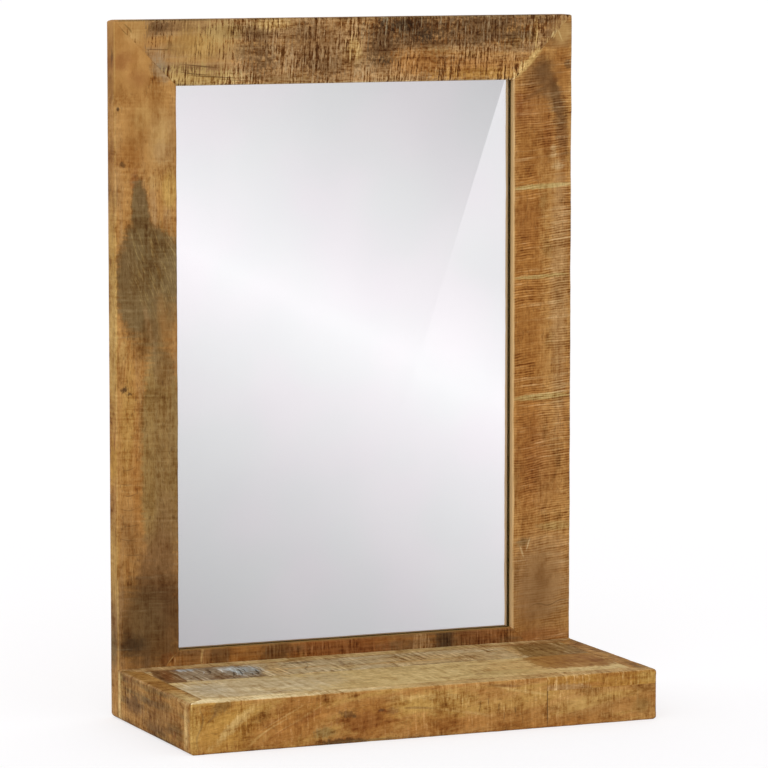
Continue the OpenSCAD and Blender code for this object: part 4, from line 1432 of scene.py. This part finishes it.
# %% The fold, and the brighter panel at its right
FOLD_LEFT, FOLD_RIGHT = Vector((-0.175, 0.470)), Vector((0.167, 0.307))
FADE_UP, FADE_DOWN = 0.62, 0.70
PANEL_TOP, PANEL_FOOT = Vector((0.1717, 0.6288)), Vector((0.0405, 0.2382))
PANEL_RIM = 0.6 * MM
PANEL_LOW, PANEL_FULL = 0.24, 0.40
LIT_TO, LIT_SHARE, LIT_LEAST = 0.94, 0.88, 0.014
fold_slope = (FOLD_RIGHT.y - FOLD_LEFT.y) / (FOLD_RIGHT.x - FOLD_LEFT.x)
above = height - (across - FOLD_LEFT.x) * fold_slope - FOLD_LEFT.y
cloth = 1.0 - above.at_least(0) * FADE_UP + above.at_most(0) * FADE_DOWN
panel_slope = (PANEL_TOP.x - PANEL_FOOT.x) / (PANEL_TOP.y - PANEL_FOOT.y)
beside = across - (height - PANEL_TOP.y) * panel_slope - PANEL_TOP.x
panel = tent.step(beside, -PANEL_RIM, PANEL_RIM)
lit = cloth + ((LIT_TO - cloth) * LIT_SHARE).at_least(LIT_LEAST)
seen = cloth + (lit - cloth) * (panel * tent.step(height, PANEL_LOW, PANEL_FULL))
print("fold slope", fold_slope, "panel slope", panel_slope)

# %% What each kind of ray sees
WORLD_LIGHT = 0.86
DARKEST, GAMMA = 0.55, 2.2
CLOTH_WHITE = (1.0, 0.975, 1.0)
PAPER_WHITE = (1, 0.985, 1, 1)
seen = tent.node("Clamp", {}, {0: seen, 1: DARKEST, 2: 1.0}) ** GAMMA
tent_colour = tent.scaled(CLOTH_WHITE, seen)
is_camera = tent.node("LightPath")
is_mirrored = is_camera.beside("Is Glossy Ray").at_least(is_camera.beside("Is Transmission Ray"))
shown = tent.mix(is_mirrored, plain_grey(WORLD_LIGHT), tent_colour)
shown = tent.mix(is_camera, shown, PAPER_WHITE)
light = tent.node("Background", {}, {"Color": shown, "Strength": 1.0})
tent.node("OutputWorld", {}, {"Surface": light})
print("tent", len(tent.tree.nodes), "nodes")

# %% The soft sun
SUN_LIGHT = 0.5
SUN_DISC = math.radians(50)
TO_SUN = Vector((-0.42, -0.72, 0.62)).normalized()
sun_data = bpy.data.lights.new("soft_sun", "SUN")
sun_data.energy = SUN_LIGHT
sun_data.angle = SUN_DISC
sun = bpy.data.objects.new("soft_sun", sun_data)
sun.rotation_euler = TO_SUN.to_track_quat("Z", "Y").to_euler()
bpy.context.scene.collection.objects.link(sun)
print("sun from", list(TO_SUN))

# %% [markdown]
# The floor is a large plain sheet, dark enough to keep the shadow, with a glow for the camera that
# lifts the lit part of it to the white of the paper. Light that bounces off it onto the object
# comes from plain white instead.

# %% The floor
FLOOR_SIZE = 400
FLOOR_ALBEDO, BOUNCE_ALBEDO = 0.4, 0.8
FLOOR_SHOWN = 1.016
let_go()
bpy.ops.mesh.primitive_plane_add(size=FLOOR_SIZE, calc_uvs=False, location=(0, 0, 0))
floor = bpy.context.active_object
floor.name = "floor"
floor_finish = new_finish("floor_white")
matt = floor_finish.node("BsdfDiffuse", {}, {"Color": plain_grey(FLOOR_ALBEDO)})
bounce = floor_finish.node("BsdfDiffuse", {}, {"Color": plain_grey(BOUNCE_ALBEDO)})
level = FLOOR_ALBEDO * (WORLD_LIGHT + SUN_LIGHT * TO_SUN.z / math.pi)
glow = floor_finish.node("Emission", {}, {"Color": PAPER_WHITE, "Strength": FLOOR_SHOWN - level})
for_camera = floor_finish.node("AddShader", {}, {0: matt, 1: glow})
is_camera = floor_finish.node("LightPath")
floor_shader = floor_finish.node("MixShader", {}, {0: is_camera, 1: bounce, 2: for_camera})
floor_finish.node("OutputMaterial", {}, {"Surface": floor_shader})
floor.data.materials.append(floor_finish.owner)
floor.visible_glossy = False
floor.visible_transmission = False
print("floor lit to", level, "and shown at", FLOOR_SHOWN)

# %% [markdown]
# In the photograph the foot of the mirror shows only the tent, not the shelf before it. The
# boards of the shelf are therefore hidden from mirrored rays.

# %% What the mirror doesn't show
shelf_parts = [nodes[name] for name in nodes if name.startswith("shelf_")]
for piece in shelf_boards + shelf_parts:
    piece.visible_glossy = False
    piece.visible_transmission = False
print("not in the mirror", len(shelf_boards + shelf_parts))
